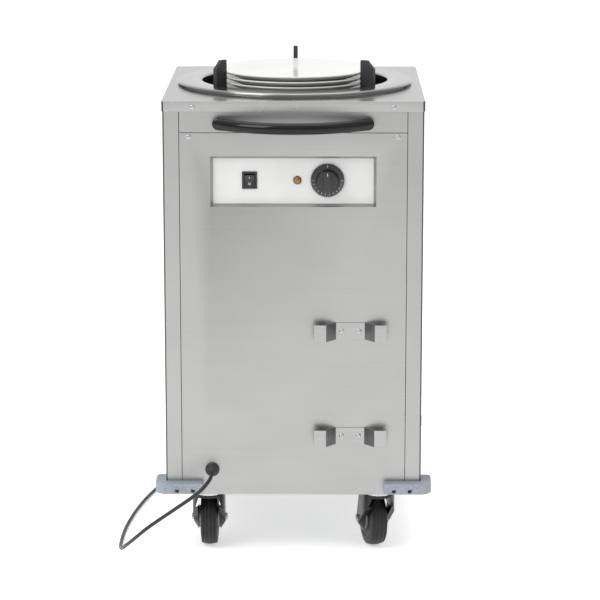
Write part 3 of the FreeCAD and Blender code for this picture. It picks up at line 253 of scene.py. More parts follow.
def spun(profile, turns=96, centre=(0, 0, 0), axis="z", closed=False):  # across = r cos a, up = r sin a, along = h
    angle = fullTurn(turns)[:, None]
    r, h = profile[:, 0][None], profile[:, 1][None]
    parts = {"z": (r * np.cos(angle), r * np.sin(angle), h + 0 * angle),
             "y": (r * np.cos(angle), h + 0 * angle, r * np.sin(angle)),
             "x": (h + 0 * angle, r * np.cos(angle), r * np.sin(angle))}[axis]
    return grid(np.stack(parts, -1) + np.array(centre), wrapU=True, wrapV=closed)


def drawn(outline, levels, place):  # one closed outline carried through levels of (height, inset, scale)
    rows = []
    for height, inset, scale in levels:
        lean = np.maximum(np.abs(outline) * scale - inset, 0) * np.sign(outline)
        rows.append(place(lean[:, 0], lean[:, 1], np.full(len(outline), float(height))))
    return grid(np.array(rows), wrapV=True, capped=True)


def swung(shell, degrees, x, y):  # turned about the upright axis, then moved
    points, faces = shell
    u, v = turnedBy(points[:, 0], points[:, 1], math.radians(degrees))
    return np.stack([u + x, v + y, points[:, 2]], -1), faces


def settle(obj, material, body, stands):  # material, body and the nodes it stands for
    obj.data.materials.clear()
    obj.data.materials.append(material)
    if body:
        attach(obj, body)
    if stands:
        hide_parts(*stands)
    return obj


def piece(name, shells, material, body, stands, sharp=32, bevel=0.0):
    # closed shells in mm as one mesh: poles and seams merged, faces turned outwards, edges over sharp degrees kept
    points, faces, base = [], [], 0
    for shellPoints, shellFaces in shells:
        points.append(shellPoints)
        faces += [[base + k for k in face] for face in shellFaces]
        base += len(shellPoints)
    mesh = bpy.data.meshes.new(name)
    mesh.from_pydata((np.concatenate(points) / 1000).tolist(), [], faces)
    work = bmesh.new()
    work.from_mesh(mesh)
    bmesh.ops.remove_doubles(work, verts=work.verts, dist=2e-6)
    bmesh.ops.recalc_face_normals(work, faces=work.faces)
    work.to_mesh(mesh)
    work.free()
    mesh.polygons.foreach_set("use_smooth", [True] * len(mesh.polygons))
    mesh.set_sharp_from_angle(angle=math.radians(sharp))
    obj = link(name, mesh)
    if bevel:
        eased(obj, bevel)
    return settle(obj, material, body, stands)


softening = {"easedOver": 35, "sharpOver": 32, "flatUnder": 0.6}  # angles between faces, in degrees


def eased(obj, width, steps=2):  # every edge sharper than easedOver gets a rounding of this width in mm
    bevel = obj.modifiers.new("easedEdges", "BEVEL")
    bevel.width = width / 1000
    bevel.segments = steps
    bevel.limit_method = "ANGLE"
    bevel.angle_limit = math.radians(softening["easedOver"])
    bevel.harden_normals = True


def softened(node, width, material, steps=2, keep=None, name=None, extra=(), finishOf=None):
    # the CAD piece again, without the triangles that keep turns down: flat faces merged and edges eased. With extra
    # materials, finishOf picks each face's from its normal and centre, and the eased edges get the first extra one.
    source = frame["nodes"][node]
    mesh = source.data.copy()
    mesh.name = name or node + "Eased"
    work = bmesh.new()
    work.from_mesh(mesh)
    if keep:
        unwanted = [f for f in work.faces if not keep(np.array([v.co for v in f.verts]))]
        bmesh.ops.delete(work, geom=unwanted, context="FACES")
    bmesh.ops.remove_doubles(work, verts=work.verts, dist=1e-6)
    flat = math.radians(softening["flatUnder"])
    bmesh.ops.dissolve_limit(work, angle_limit=flat, verts=work.verts, edges=work.edges)
    work.to_mesh(mesh)
    work.free()
    mesh.polygons.foreach_set("use_smooth", [True] * len(mesh.polygons))
    mesh.set_sharp_from_angle(angle=math.radians(softening["sharpOver"]))
    obj = link(mesh.name, mesh)
    if width:
        eased(obj, width, steps)
    settle(obj, material, source["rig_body"], [node])
    for material in extra:
        obj.data.materials.append(material)
    if extra:
        obj.modifiers["easedEdges"].material = 1
        for face in mesh.polygons:
            face.material_index = finishOf(face.normal, face.center)
    return obj


# 304 stainless sheet with a brushed finish: a soft grey sheen, drawn out along the brushing; the strokes are
# 0.1 mm apart on the real sheet and 1.4 mm here, so that they show
panelSteel = finish("brushedStainlessSheet", "#A8A8A7", [
    dict(cell=(220, 220, 1.4), detail=3.0, to="#9E9E9E", tint=0.4, sway=0.025, lift=0.0012),
    dict(cell=(120, 120, 90), to="#B1B1B0", tint=0.3, sway=0.008)], **{"Roughness": 0.34, "Metallic": 1.0})
deckSteel = finish("brushedStainlessDeck", "#AFAFAE", [
    dict(cell=(220, 1.4, 220), detail=3.0, to="#A3A3A3", tint=0.3, sway=0.02, lift=0.0005),
    dict(cell=80, to="#B7B7B6", tint=0.5, sway=0.03)], **{"Roughness": 0.27, "Metallic": 1.0})
# the panels' eased edges and their faces behind the outer skin: near-black rough steel, painted shade that makes the
# seams between panels read as dark lines
seamShade = finish("paintedSeamShade", "#2C2C2C", [dict(cell=(6, 6, 0.8), to="#3C3C3C", tint=0.5, sway=0.05)],
                 **{"Roughness": 0.5, "Metallic": 1.0})
# painted reflection: the round folds of the upright corners get a dark grey steel, painting in the dark sides of the
# room as a narrow upright line
foldReflection = finish("paintedFoldReflection", "#565656", [dict(cell=(30, 30, 1.4), to="#4A4A4A", tint=0.5, sway=0.03)],
                   **{"Roughness": 0.32, "Metallic": 1.0})
# painted shade: the same sheet in a much darker grey on the cleats' slanting legs
legShade = finish("paintedCleatLegShade", "#767676", [dict(cell=(0.9, 0.9, 60), to="#5F5F5F", tint=0.6, sway=0.04)],
                   **{"Roughness": 0.36, "Metallic": 1.0})
# spun and polished stainless: brighter, with fine rings about the well's axis
ringSteel = finish("spunStainlessRing", "#A9A9A8", [
    dict(cell=(1.6, 50, 50), detail=2.0, to="#929292", tint=0.3, sway=0.04, lift=0.003)], turned=True,
    **{"Roughness": 0.17, "Metallic": 1.0})
# mill-finish sheet and rod inside the cart: duller and cloudier than the brushed outside
innerSteel = finish("millFinishSteel", "#A3A4A5", [
    dict(cell=30, to="#87898B", tint=0.6, sway=0.08), dict(cell=3, lift=0.01)],
    **{"Roughness": 0.38, "Metallic": 1.0})
# zinc-plated steel: bright and cool, slightly cloudy from the bath
zincSteel = finish("zincPlatedSteel", "#C6C7C8", [
    dict(cell=4, to="#A9ADB2", tint=0.5, sway=0.07), dict(cell=1, lift=0.01)],
    **{"Roughness": 0.24, "Metallic": 1.0})
springSteel = finish("drawnSpringSteel", "#7F8285", [dict(cell=2, to="#64676A", tint=0.5, sway=0.06)],
                     **{"Roughness": 0.33, "Metallic": 1.0})
# powder-coated steel: white and satin, with the faint orange peel of baked powder
fasciaPaint = finish("powderCoatedWhite", "#D7D7D6", [
    dict(cell=1.6, lift=0.02, sway=0.05), dict(cell=40, to="#D0D0CF", tint=0.6)],
    **{"Roughness": 0.36, "IOR": 1.5})
# injection-moulded ABS: black, smooth and glossy, with a slight flow mottle
switchAbs = finish("mouldedBlackAbs", "#121214", [dict(cell=5, to="#1D1D20", tint=0.6, sway=0.05),
                   dict(cell=0.8, lift=0.01)], **{"Roughness": 0.3, "IOR": 1.54})
# compression-moulded phenolic: black and semi-gloss, its flow lines barely lighter
knobPhenolic = finish("mouldedPhenolic", "#0C0C0D", [dict(cell=(7, 7, 3), to="#1B1B1C", tint=0.6, sway=0.06),
                      dict(cell=0.9, lift=0.012)], **{"Roughness": 0.33, "IOR": 1.6})
# transparent amber acrylic: deep orange, a little cloudy so that it glows in plain light
amberLens = finish("tintedAmberAcrylic", "#B5800F", [dict(cell=3, to="#80570A", tint=0.6)],
                   **{"Roughness": 0.12, "IOR": 1.49, "Transmission Weight": 0.35, "Coat Weight": 0.6})
# dark heat-proof moulding of the thermostat
innerPlastic = finish("heatProofMoulding", "#4A3C30", [dict(cell=6, to="#392E26", tint=0.6, sway=0.06),
                      dict(cell=1, lift=0.015)], **{"Roughness": 0.5, "IOR": 1.58})
# oxidised nickel-steel sheath of the heating rod: dark grey-green and dull
elementSheath = finish("oxidisedSheath", "#4C4E48", [dict(cell=8, to="#62584A", tint=0.6, sway=0.08)],
                       **{"Roughness": 0.52, "Metallic": 0.85})
# handle of black nylon, moulded smooth and glossy, with a soft ripple in its reflections
handleNylon = finish("polishedBlackNylon", "#0B0B0C", [dict(cell=14, to="#151516", tint=0.6, sway=0.05),
                     dict(cell=3, lift=0.012)], **{"Roughness": 0.16, "IOR": 1.36})
# glass-filled nylon of the guides and gland: matt, with a fine grain of fibre
guideNylon = finish("glassFilledNylon", "#202123", [
    dict(cell=1.1, to="#37383A", tint=0.7, sway=0.06, lift=0.03),
    dict(cell=9, to="#2A2B2D", tint=0.5)], **{"Roughness": 0.55, "IOR": 1.53})
# bumpers of grey moulded rubber with light and dark specks a millimetre or two across
bumperRubber = finish("speckledGreyRubber", "#959CA5", [
    dict(cell=2.2, to="#6F767F", tint=0.7, band=(0.52, 0.64), sway=0.05, lift=0.05),
    dict(cell=1.5, to="#BCC2C9", tint=0.7, band=(0.55, 0.66)),
    dict(cell=45, to="#8A919A", tint=0.5)], **{"Roughness": 0.55, "IOR": 1.52})
# vitrified hotel porcelain: white under a thick clear glaze
porcelain = finish("glazedPorcelain", "#DBDBD9", [
    dict(cell=60, to="#D5D5D2", tint=0.6), dict(cell=5, lift=0.006, sway=0.02)],
    **{"Roughness": 0.2, "IOR": 1.52, "Coat Weight": 0.4, "Coat Roughness": 0.05})
# forks of pressed steel in black stove enamel: deep gloss with a slight orange peel
forkEnamel = finish("stoveEnamelBlack", "#0B0B0C", [dict(cell=2, lift=0.015, sway=0.04),
                    dict(cell=20, to="#131314", tint=0.6)],
                    **{"Roughness": 0.25, "IOR": 1.42})
# vulcanised tyre rubber: black and satin, greyed a little where it has rolled
tyreRubber = finish("vulcanisedRubber", "#151516", [dict(cell=6, to="#222223", tint=0.6, sway=0.08),
                    dict(cell=0.9, lift=0.02)], **{"Roughness": 0.46, "IOR": 1.45})
hubPlastic = finish("mouldedGreyPolypropylene", "#B5B8BB", [dict(cell=8, to="#A2A5A8", tint=0.6, sway=0.05),
                    dict(cell=1, lift=0.015)], **{"Roughness": 0.42, "IOR": 1.49})
# screen-printed ink: flat and slightly uneven
dialInk = finish("screenPrintedInk", "#C9CBCC", [dict(cell=0.7, to="#AEB0B2", tint=0.6, sway=0.05)],
                 **{"Roughness": 0.5, "IOR": 1.5})
# nickel-plated brass blades: warm and bright
platedBrass = finish("nickelPlatedBrass", "#C8BFA8", [dict(cell=3, to="#B0A68C", tint=0.5, sway=0.06)],
                     **{"Roughness": 0.22, "Metallic": 1.0})
# the floor as one wide sheet of matt background paper, lit a little of itself so that it stays white
paper = finish("mattBackgroundPaper", "#F2F2F2", [dict(cell=400, to="#EFEFEF", tint=0.5)],
               **{"Roughness": 0.9, "IOR": 1.4, "Specular IOR Level": 0.2, "Emission Color": hexColour("#FFFFFF"),
                  "Emission Strength": 0.5})
print("finishes made:", len(bpy.data.materials))

nodeFinishes = {
    "top_pan": deckSteel, "side_panel_left": panelSteel, "side_panel_right": panelSteel, "header_panel": panelSteel,
    "front_panel": panelSteel, "back_panel": panelSteel, "base_pan": innerSteel, "fascia": fasciaPaint,
    "control_box": innerSteel, "switch_housing": switchAbs, "rocker": switchAbs, "lamp": amberLens,
    "knob": knobPhenolic, "thermostat_shaft": zincSteel, "thermostat_body": innerPlastic, "well_ring": ringSteel,
    "well_tube": innerSteel, "well_floor": innerSteel, "post_brackets": innerSteel, "heating_element": elementSheath,
    "carrier_plate": innerSteel, "carrier_frame": zincSteel, "carrier_springs": springSteel, "handle": handleNylon,
    "handle_screws": zincSteel, "cleat_upper": panelSteel, "cleat_lower": panelSteel, "panel_screws": zincSteel,
    "bumper_screws": zincSteel, "gland": guideNylon, "lead": pvcLead, "lead_coil": pvcLead, "plug": pvcLead,
    "caster_plates": zincSteel}
nodeFinishes.update({f"guide_{side}": guideNylon for side in ("rear", "left", "right")})
nodeFinishes.update({f"guide_post_{side}": zincSteel for side in ("rear", "left", "right")})
nodeFinishes.update({f"plate_{n}": porcelain for n in range(1, 5)})
corners = [f"{end}_{flank}" for end in ("front", "rear") for flank in ("left", "right")]
cornerFinishes = {"bumper": bumperRubber, "fork": forkEnamel, "tyre": tyreRubber, "hub": hubPlastic}
for start, material in cornerFinishes.items():
    nodeFinishes.update({f"{start}_{corner}": material for corner in corners})
for node, material in nodeFinishes.items():
    mesh = frame["nodes"][node].data
    if not mesh.materials:
        mesh.materials.append(material)
    for i in range(len(mesh.materials)):
        mesh.materials[i] = material
print("nodes without a finish:", sorted(set(frame["nodes"]) - set(nodeFinishes)))

# faces of the cabinet in mm, and the gap that keeps what is screwed on off its seat
cabinetFront, fasciaFace, seatGap = -240.0, -232.0, 0.02
sides = (-1, 1)

# panels: folded sheet with edges eased as a press leaves them; the eased edges and the faces behind the outer skin
# get painted seam shade, the upright folds a painted dark reflection; the skin's reach and the window's are in metres
panelEase = {"top_pan": 0.35, "side_panel_left": 0.55, "side_panel_right": 0.55, "header_panel": 0.55,
             "front_panel": 0.55, "back_panel": 0.55}
skin = {"x": 0.2245, "y": 0.2395, "top": 0.8085, "foldX": 0.22, "foldY": 0.235, "foldNormal": 0.3}
window = {"front": -0.2, "x": 0.15, "low": 0.6, "high": 0.735}


def panelFinish(normal, centre):  # 2 on the round folds of the upright corners (painted reflection), 1 behind the outer skin (painted shade), else 0
    x, y, z = abs(centre.x), abs(centre.y), centre.z
    if min(abs(normal.x), abs(normal.y)) > skin["foldNormal"] and x > skin["foldX"] and y > skin["foldY"]:
        return 2
    inWindow = centre.y < window["front"] and x < window["x"] and window["low"] < z < window["high"]
    return int(x < skin["x"] and y < skin["y"] and z < skin["top"] and not inWindow)


for node, width in panelEase.items():
    softened(node, width, nodeFinishes[node], extra=(seamShade, foldReflection), finishOf=panelFinish)
print("panels eased")

# plates: a coupe profile turned about the well's axis, with a foot ring, a rounded rim and a soft well
plateSize = {"top": 839.0, "pitch": 9.2, "height": 22.0, "gap": 0.3, "rim": 135.9, "turns": 160}
plateLine = roundedLine([
    (0, 4), (72, 4, 1.2), (72, 0, 1.2), (78, 0, 1.4), (78, 4, 1.2), (97.5, 4, 8), (plateSize["rim"], 18.7, 1.3),
    (plateSize["rim"], plateSize["height"], 1.5), (94, 9.2, 22), (0, 9.2)], steps=7)
for number in range(1, 5):
    base = plateSize["top"] - plateSize["height"] - (number - 1) * plateSize["pitch"]
    if number > 1:
        base -= plateSize["gap"]
    piece(f"coupePlate{number}", [spun(plateLine, plateSize["turns"], (0, 0, base))], porcelain,
          "top_plate" if number == 1 else "carrier", [f"plate_{number}"], sharp=60)

# well ring: flat top, lip turned down into the tube, rolled outer bead and a leg on the deck
ringSize = {"inner": 166.5, "outer": 211.0, "top": 818.5, "under": 817.0, "turns": 192}
inner, outer, under = ringSize["inner"], ringSize["outer"], ringSize["under"]
ringLine = roundedLine([
    (inner, ringSize["top"], 3), (outer, ringSize["top"], 2.45), (outer, 813.5, 2.45), (208.5, 813.5, 0.2),
    (208.5, under, 0.4), (202, under, 0.8), (202, 810, 0.3), (200.5, 810, 0.3), (200.5, under, 0.5),
    (168, under, 1.4), (168, 800.5, 0.4), (inner, 800.5, 0.4)], steps=6)
piece("wellRingSpun", [spun(ringLine, ringSize["turns"], closed=True)], ringSteel, "cabinet", ["well_ring"],
      sharp=50)

# springs: three draw springs that stretch from the tube's anchors down to the carrier's arms. Each is a helix,
# x = c + r cos t, y = d + r sin t, z rising evenly with t, and r and z vary round the wire
springSize = {"circle": 180.5, "low": 557.1, "high": 786.0, "coil": 5.7, "wire": 0.8, "turns": 64, "turnPoints": 14,
              "wirePoints": 8, "places": (30, 150, 270)}
wound = np.linspace(0, 2 * math.pi * springSize["turns"], springSize["turns"] * springSize["turnPoints"] + 1)[:, None]
rise = springSize["high"] - springSize["low"] - 2 * springSize["wire"]
climb = springSize["low"] + springSize["wire"] + rise * wound / wound[-1]
wireTurn = fullTurn(springSize["wirePoints"])[None]
coilReach = springSize["coil"] + springSize["wire"] * np.cos(wireTurn)
coilZ = climb + springSize["wire"] * np.sin(wireTurn)
coils = [grid(np.stack([springSize["circle"] * math.cos(math.radians(at)) + coilReach * np.cos(wound),
                        springSize["circle"] * math.sin(math.radians(at)) + coilReach * np.sin(wound), coilZ], -1),
              wrapV=True, capped=True) for at in springSize["places"]]
springs = piece("drawSprings", coils, springSteel, None, ["carrier_springs"], sharp=60)
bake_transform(springs)
for side in ("rear", "left", "right"):
    softened(f"guide_{side}", 1.3, guideNylon, steps=4)
print("well dressed")

# handle: a round bar on an arc, r = 10 swelling to 10.8 over the last 30, closed by half spheres; two short feet
handleSize = {"half": 128.0, "end": -254.0, "middle": -310.0, "height": 772.5, "bar": 10.0, "tip": 10.8,
              "swell": 30.0, "foot": 8.5, "footEase": 0.6}
sag = handleSize["end"] - handleSize["middle"]
bow = (handleSize["half"] ** 2 + sag ** 2) / (2 * sag)
halfLength = bow * math.asin(handleSize["half"] / bow)
tip = handleSize["tip"]
tipAngle = np.linspace(0, math.pi / 2, 12)[1:]
along = np.concatenate([-halfLength - tip * np.sin(tipAngle[::-1]), np.linspace(-halfLength, halfLength, 97),
                        halfLength + tip * np.sin(tipAngle)])
swell = np.clip((np.abs(along) - halfLength + handleSize["swell"]) / handleSize["swell"], 0, 1)
swell = swell * swell * (3 - 2 * swell)
past = np.clip(np.abs(along) - halfLength, 0, tip)
radius = np.where(past > 0, np.sqrt(np.maximum(tip ** 2 - past ** 2, 0)),
                  handleSize["bar"] + (tip - handleSize["bar"]) * swell)
turn = along / bow
around = fullTurn(32)
outward = np.stack([np.sin(turn), -np.cos(turn), 0 * turn], -1)
centre = np.stack([bow * np.sin(turn), handleSize["middle"] + bow - bow * np.cos(turn),
                   handleSize["height"] + 0 * turn], -1)
bar = centre[:, None] + radius[:, None, None] * (np.cos(around)[None, :, None] * outward[:, None]
                                                 + np.sin(around)[None, :, None] * np.array([0, 0, 1.0]))
waist, seat = handleSize["foot"] - handleSize["footEase"], cabinetFront - seatGap
footLine = roundedLine([(0, handleSize["end"]), (waist, handleSize["end"]), (waist, cabinetFront - 2, 1.2),
                        (handleSize["foot"], cabinetFront - 1, 0.6), (handleSize["foot"], seat), (0, seat)])
feet = [spun(footLine, 40, (side * handleSize["half"], 0, handleSize["height"]), "y") for side in sides]
piece("bowHandle", [grid(bar, wrapV=True)] + feet, handleNylon, "cabinet", ["handle"], sharp=50)

# cleats: one strip bent like a hat, whose slanting legs get a darker steel as painted shade
cleatSize = {"x": 99.5, "heights": {"upper": 407.0, "lower": 218.0}, "half": 25.5, "spread": 18.0, "off": 23.0,
             "flange": 20.0, "sheet": 1.5, "tall": 30.0, "outerBend": 2.6, "innerBend": 1.1, "tipRound": 0.5}
lean = math.hypot(cleatSize["spread"], cleatSize["off"])
bend = cleatSize["sheet"] * (lean - cleatSize["spread"]) / cleatSize["off"]
knee, face, gauge = cleatSize["half"] + cleatSize["spread"], cabinetFront - cleatSize["off"], cleatSize["sheet"]
outerBend, innerBend, flangeEnd = cleatSize["outerBend"], cleatSize["innerBend"], knee + cleatSize["flange"]
rightSide = [(cleatSize["half"], cabinetFront, outerBend), (knee, face + gauge, innerBend),
             (flangeEnd, face + gauge, cleatSize["tipRound"]), (flangeEnd, face, cleatSize["tipRound"]),
             (knee - bend, face, outerBend), (cleatSize["half"] - bend, cabinetFront - gauge, innerBend)]
hat = roundedLine(rightSide + [(-u, v, r) for u, v, r in reversed(rightSide)])
for name, height in cleatSize["heights"].items():
    shell = drawn(hat, [(height - cleatSize["tall"] / 2, 0, 1), (height + cleatSize["tall"] / 2, 0, 1)],
                  lambda u, v, h: np.stack([u + cleatSize["x"], v, h], -1))
    cleat = piece(f"leadCleat.{name}", [shell], panelSteel, "cabinet", [f"cleat_{name}"], sharp=40,
                  bevel=0.3)
    # the slanting legs get the painted shade
    cleat.data.materials.append(legShade)
    for face in cleat.data.polygons:
        face.material_index = int(abs(face.normal.x) > 0.6 and face.normal.y < -0.2)

# screws: heads of radius R on a shank, and the deck's, header's, cleats' and bumpers' places; a recess is a cross of
# arms 0.22 R wide and R long, with slopes over 0.6 of its half width
screwSize = {"head": 4.4, "sunkHead": 3.6, "rise": 2.2, "shank": 2.1, "length": 9.0, "armLong": 0.5, "armWide": 0.11,
             "deep": 0.55, "slope": 0.6, "deckX": 173, "deckZ": 800, "deckSeat": 241.4, "headerX": 180,
             "headerZ": 748, "cleatX": 15, "bumperX": (177, 205), "bumperZ": 121, "bumperSeat": 247.5}


def crossHead(x, z, face, side, head=screwSize["head"]):
    # h = rise sqrt(1 - (r/R)^4), less the cross, 0.55 of the rise deep
    rise, shank, length = screwSize["rise"], screwSize["shank"], screwSize["length"]
    long, wide = screwSize["armLong"] * head, screwSize["armWide"] * head
    angle = fullTurn(64)[:, None]
    r = head * np.concatenate([np.linspace(0, 0.6, 16), np.linspace(0.66, 1, 8)])[None]
    u, v = np.abs(r * np.cos(angle)), np.abs(r * np.sin(angle))
    reach = np.minimum(np.maximum(u / long, v / wide), np.maximum(v / long, u / wide))
    inCross = np.clip((1 + screwSize["slope"] / 2 - reach) / screwSize["slope"], 0, 1)
    height = rise * np.sqrt(np.maximum(1 - (r / head) ** 4, 0)) - screwSize["deep"] * rise * inCross
    backR, backH = np.array([[head, shank, shank, 0]]), np.array([[0.0, 0, -length, -length]])
    r = np.concatenate([r + 0 * angle, backR + 0 * angle], 1)
    height = np.concatenate([height, backH + 0 * angle], 1)
    return grid(np.stack([x + r * np.cos(angle), face + side * height, z + r * np.sin(angle)], -1), wrapU=True)


deckX, deckZ, deckSeat = screwSize["deckX"], screwSize["deckZ"], screwSize["deckSeat"]
screwPlaces = [(s * deckX, deckZ, -deckSeat, -1) for s in sides]
screwPlaces += [(s * screwSize["headerX"], screwSize["headerZ"], cabinetFront, -1) for s in sides]
screwPlaces += [(cleatSize["x"] + s * screwSize["cleatX"], z, cabinetFront - gauge, -1)
                for z in cleatSize["heights"].values() for s in sides]
screwPlaces += [(s * deckX, deckZ, deckSeat, 1) for s in sides]
piece("roundHeadScrews", [crossHead(*place) for place in screwPlaces], zincSteel, "cabinet", ["panel_screws"],
      sharp=40)
sunkPlaces = [(s * x, screwSize["bumperZ"], t * screwSize["bumperSeat"], t) for s in sides for t in sides
              for x in screwSize["bumperX"]]
piece("sunkBumperScrews", [crossHead(*place, head=screwSize["sunkHead"]) for place in sunkPlaces], zincSteel,
      "cabinet", ["bumper_screws"], sharp=40)
print("handle, cleats and screws made")

# printed marks of switch and knob: from a little under the face to a little over it
ink = {"rockerUnder": 0.1, "rockerOver": 0.09, "under": 0.05, "over": 0.06}

# switch: bezel and rocker with eased edges; the rocker's I and O lie on its two tilted faces
softened("switch_housing", 0.6, switchAbs, steps=3)
softened("rocker", 0.5, switchAbs, steps=3)
switchSize = {"x": -75.5, "z": 672.0, "pivot": -232.0, "middle": -235.5, "dip": 1.5, "half": 10.3, "tilt": 8.0,
              "markAt": 5.4, "strokeWide": 1.0, "strokeTall": 4.2, "ringIn": 1.45, "ringOut": 2.25}


def onRocker(u, v, lift):  # a point of the rocker's face at height v, tipped about the pivot with the rocker
    tilt = math.radians(switchSize["tilt"])
    y = switchSize["middle"] - switchSize["dip"] * np.abs(v) / switchSize["half"] - lift - switchSize["pivot"]
    return np.stack([switchSize["x"] + u, switchSize["pivot"] + y * math.cos(tilt) - v * math.sin(tilt),
                     switchSize["z"] + y * math.sin(tilt) + v * math.cos(tilt)], -1)


stroke = roundedBox(switchSize["strokeWide"], switchSize["strokeTall"], 0.2, steps=2)
lifts = (-ink["rockerUnder"], ink["rockerOver"])
onMark = grid(np.array([onRocker(stroke[:, 0], stroke[:, 1] + switchSize["markAt"], h) for h in lifts]),
              wrapV=True, capped=True)
around = fullTurn(40)
ringWall = [(switchSize["ringIn"], h) for h in lifts] + [(switchSize["ringOut"], h) for h in reversed(lifts)]
offMark = grid(np.array([onRocker(r * np.cos(around), r * np.sin(around) - switchSize["markAt"], h)
                         for r, h in ringWall]), wrapU=True, wrapV=True)
piece("switchMarks", [onMark, offMark], dialInk, "rocker_body", [])

# lamp: a low amber dome, r = 6 sin t and h = 4 cos(t)^0.8, in a dark rim
lampSize = {"x": 7.0, "z": 672.0, "flange": 7.2, "dome": 6.0, "front": -233.5, "rise": 4.0, "seat": 0.6,
            "rimIn": 5.9, "rimFloor": -232.4, "body": 5.0, "bodyEnd": -212.0}
domeTurn = np.linspace(0, math.pi / 2, 14)
domeY = lampSize["front"] - lampSize["rise"] * np.cos(domeTurn) ** 0.8
domeEnd = lampSize["front"] + lampSize["seat"]
dome = np.stack([lampSize["dome"] * np.sin(domeTurn), domeY], -1)
dome = np.concatenate([dome, [[lampSize["dome"], domeEnd], [0, domeEnd]]])
lampPlace = (lampSize["x"], 0, lampSize["z"])
piece("lampLens", [spun(dome, 48, lampPlace, "y")], amberLens, "cabinet", ["lamp"], sharp=50)
seat = fasciaFace - seatGap
rimLine = roundedLine([
    (lampSize["rimIn"], lampSize["rimFloor"]), (lampSize["rimIn"], -233.6, 0.2), (6.4, -234.0, 0.2),
    (lampSize["flange"], -233.3, 0.5), (lampSize["flange"], seat), (lampSize["body"], seat),
    (lampSize["body"], lampSize["bodyEnd"]), (0, lampSize["bodyEnd"]), (0, lampSize["rimFloor"])], steps=3)
piece("lampRim", [spun(rimLine, 48, lampPlace, "y", closed=True)], switchAbs, "cabinet", ["lamp"],
      sharp=40)

# knob: flat skirt, low dome and a grip bar; its numbers run from nine o'clock by six to three
knobSize = {"x": 59.0, "z": 672.0, "back": -233.0, "skirt": -236.5, "dome": -245.5, "grip": -253.5, "numbers": 24.2,
            "skirtOut": 29.0, "domeFoot": 19.6, "domeTop": 17.8, "gripWide": 13.0, "gripLong": 35.4,
            "gripRound": 2.2, "gripEase": 1.5, "ticks": 22, "tickAt": 27.6, "pointerAt": 24.6, "gripMarkAt": 12.5}
skirtOut, skirt = knobSize["skirtOut"], knobSize["skirt"]
knobLine = roundedLine([(0, knobSize["back"]), (skirtOut, knobSize["back"], 0.4), (skirtOut, skirt, 0.9),
                        (knobSize["domeFoot"], skirt, 0.8), (knobSize["domeTop"], knobSize["dome"], 1.8),
                        (0, knobSize["dome"])], steps=5)
gripLine = roundedBox(knobSize["gripWide"], knobSize["gripLong"], knobSize["gripRound"], steps=6)
ease, gripShoulder = knobSize["gripEase"], knobSize["grip"] + knobSize["gripEase"]
gripLevels = [(skirt + 0.5, 0, 1), (gripShoulder, 0, 1)]
gripLevels += [(gripShoulder - ease * math.sin(s), ease * (1 - math.cos(s)), 1)
               for s in np.linspace(0, math.pi / 2, 6)[1:]]
grip = drawn(gripLine, gripLevels, lambda u, v, h: np.stack([u + knobSize["x"], h, v + knobSize["z"]], -1))
piece("thermostatKnob", [spun(knobLine, 96, (knobSize["x"], 0, knobSize["z"]), "y"), grip], knobPhenolic, "knob_body",
      ["knob"], sharp=45)


def printed(width, height, x, z, face, degrees=0.0, reach=0.0):  # a thin bar of ink on a face that looks to the front
    bar = roundedBox(width, height, 0.15, steps=2)
    u, v = turnedBy(bar[:, 0], bar[:, 1] + reach, math.radians(degrees))
    rows = [np.stack([x + u, np.full(len(u), face - h), z + v], -1) for h in (-ink["under"], ink["over"])]
    return grid(np.array(rows), wrapV=True, capped=True)


marks = [printed(0.8, 4.4, knobSize["x"], knobSize["z"], skirt, 0, knobSize["pointerAt"]),
         printed(1.1, 5.0, knobSize["x"], knobSize["z"], knobSize["grip"], 0, knobSize["gripMarkAt"])]
marks += [printed(0.45, 1.6, knobSize["x"], knobSize["z"], skirt, 90 + i * 180 / knobSize["ticks"],
                  knobSize["tickAt"]) for i in range(knobSize["ticks"] + 1)]
piece("knobMarks", marks, dialInk, "knob_body", [])
numberMeshes, numberCount = [], 12
for i in range(numberCount):  # plain dial numbers 1 to 12, their heads outwards
    text = bpy.data.curves.new(f"number{i + 1}", "FONT")
    text.body = str(i + 1)
    text.size, text.extrude, text.resolution_u = 0.0042, 0.00005, 3
    text.align_x, text.align_y = "CENTER", "CENTER"
    holder = link(f"number{i + 1}", text)
    bpy.context.view_layer.update()
    mesh = bpy.data.meshes.new_from_object(holder.evaluated_get(bpy.context.evaluated_depsgraph_get()))
    points = np.zeros(len(mesh.vertices) * 3)
    mesh.vertices.foreach_get("co", points)
    u, v, h = points.reshape(-1, 3).T * 1000
    at = math.radians(180 + i * 180 / (numberCount - 1))
    u, v = turnedBy(u, v, at - math.pi / 2)
    spots = np.stack([knobSize["x"] + knobSize["numbers"] * math.cos(at) + u, skirt - 0.02 - h,
                      knobSize["z"] + knobSize["numbers"] * math.sin(at) + v], -1)
    numberMeshes.append((spots, [list(face.vertices) for face in mesh.polygons]))
    bpy.data.objects.remove(holder)
piece("knobNumbers", numberMeshes, dialInk, "knob_body", [], sharp=30)
print("controls made")

# bumpers: moulded corners, rounded as in the part's source
for corner in corners:
    softened(f"bumper_{corner}", 0, bumperRubber)

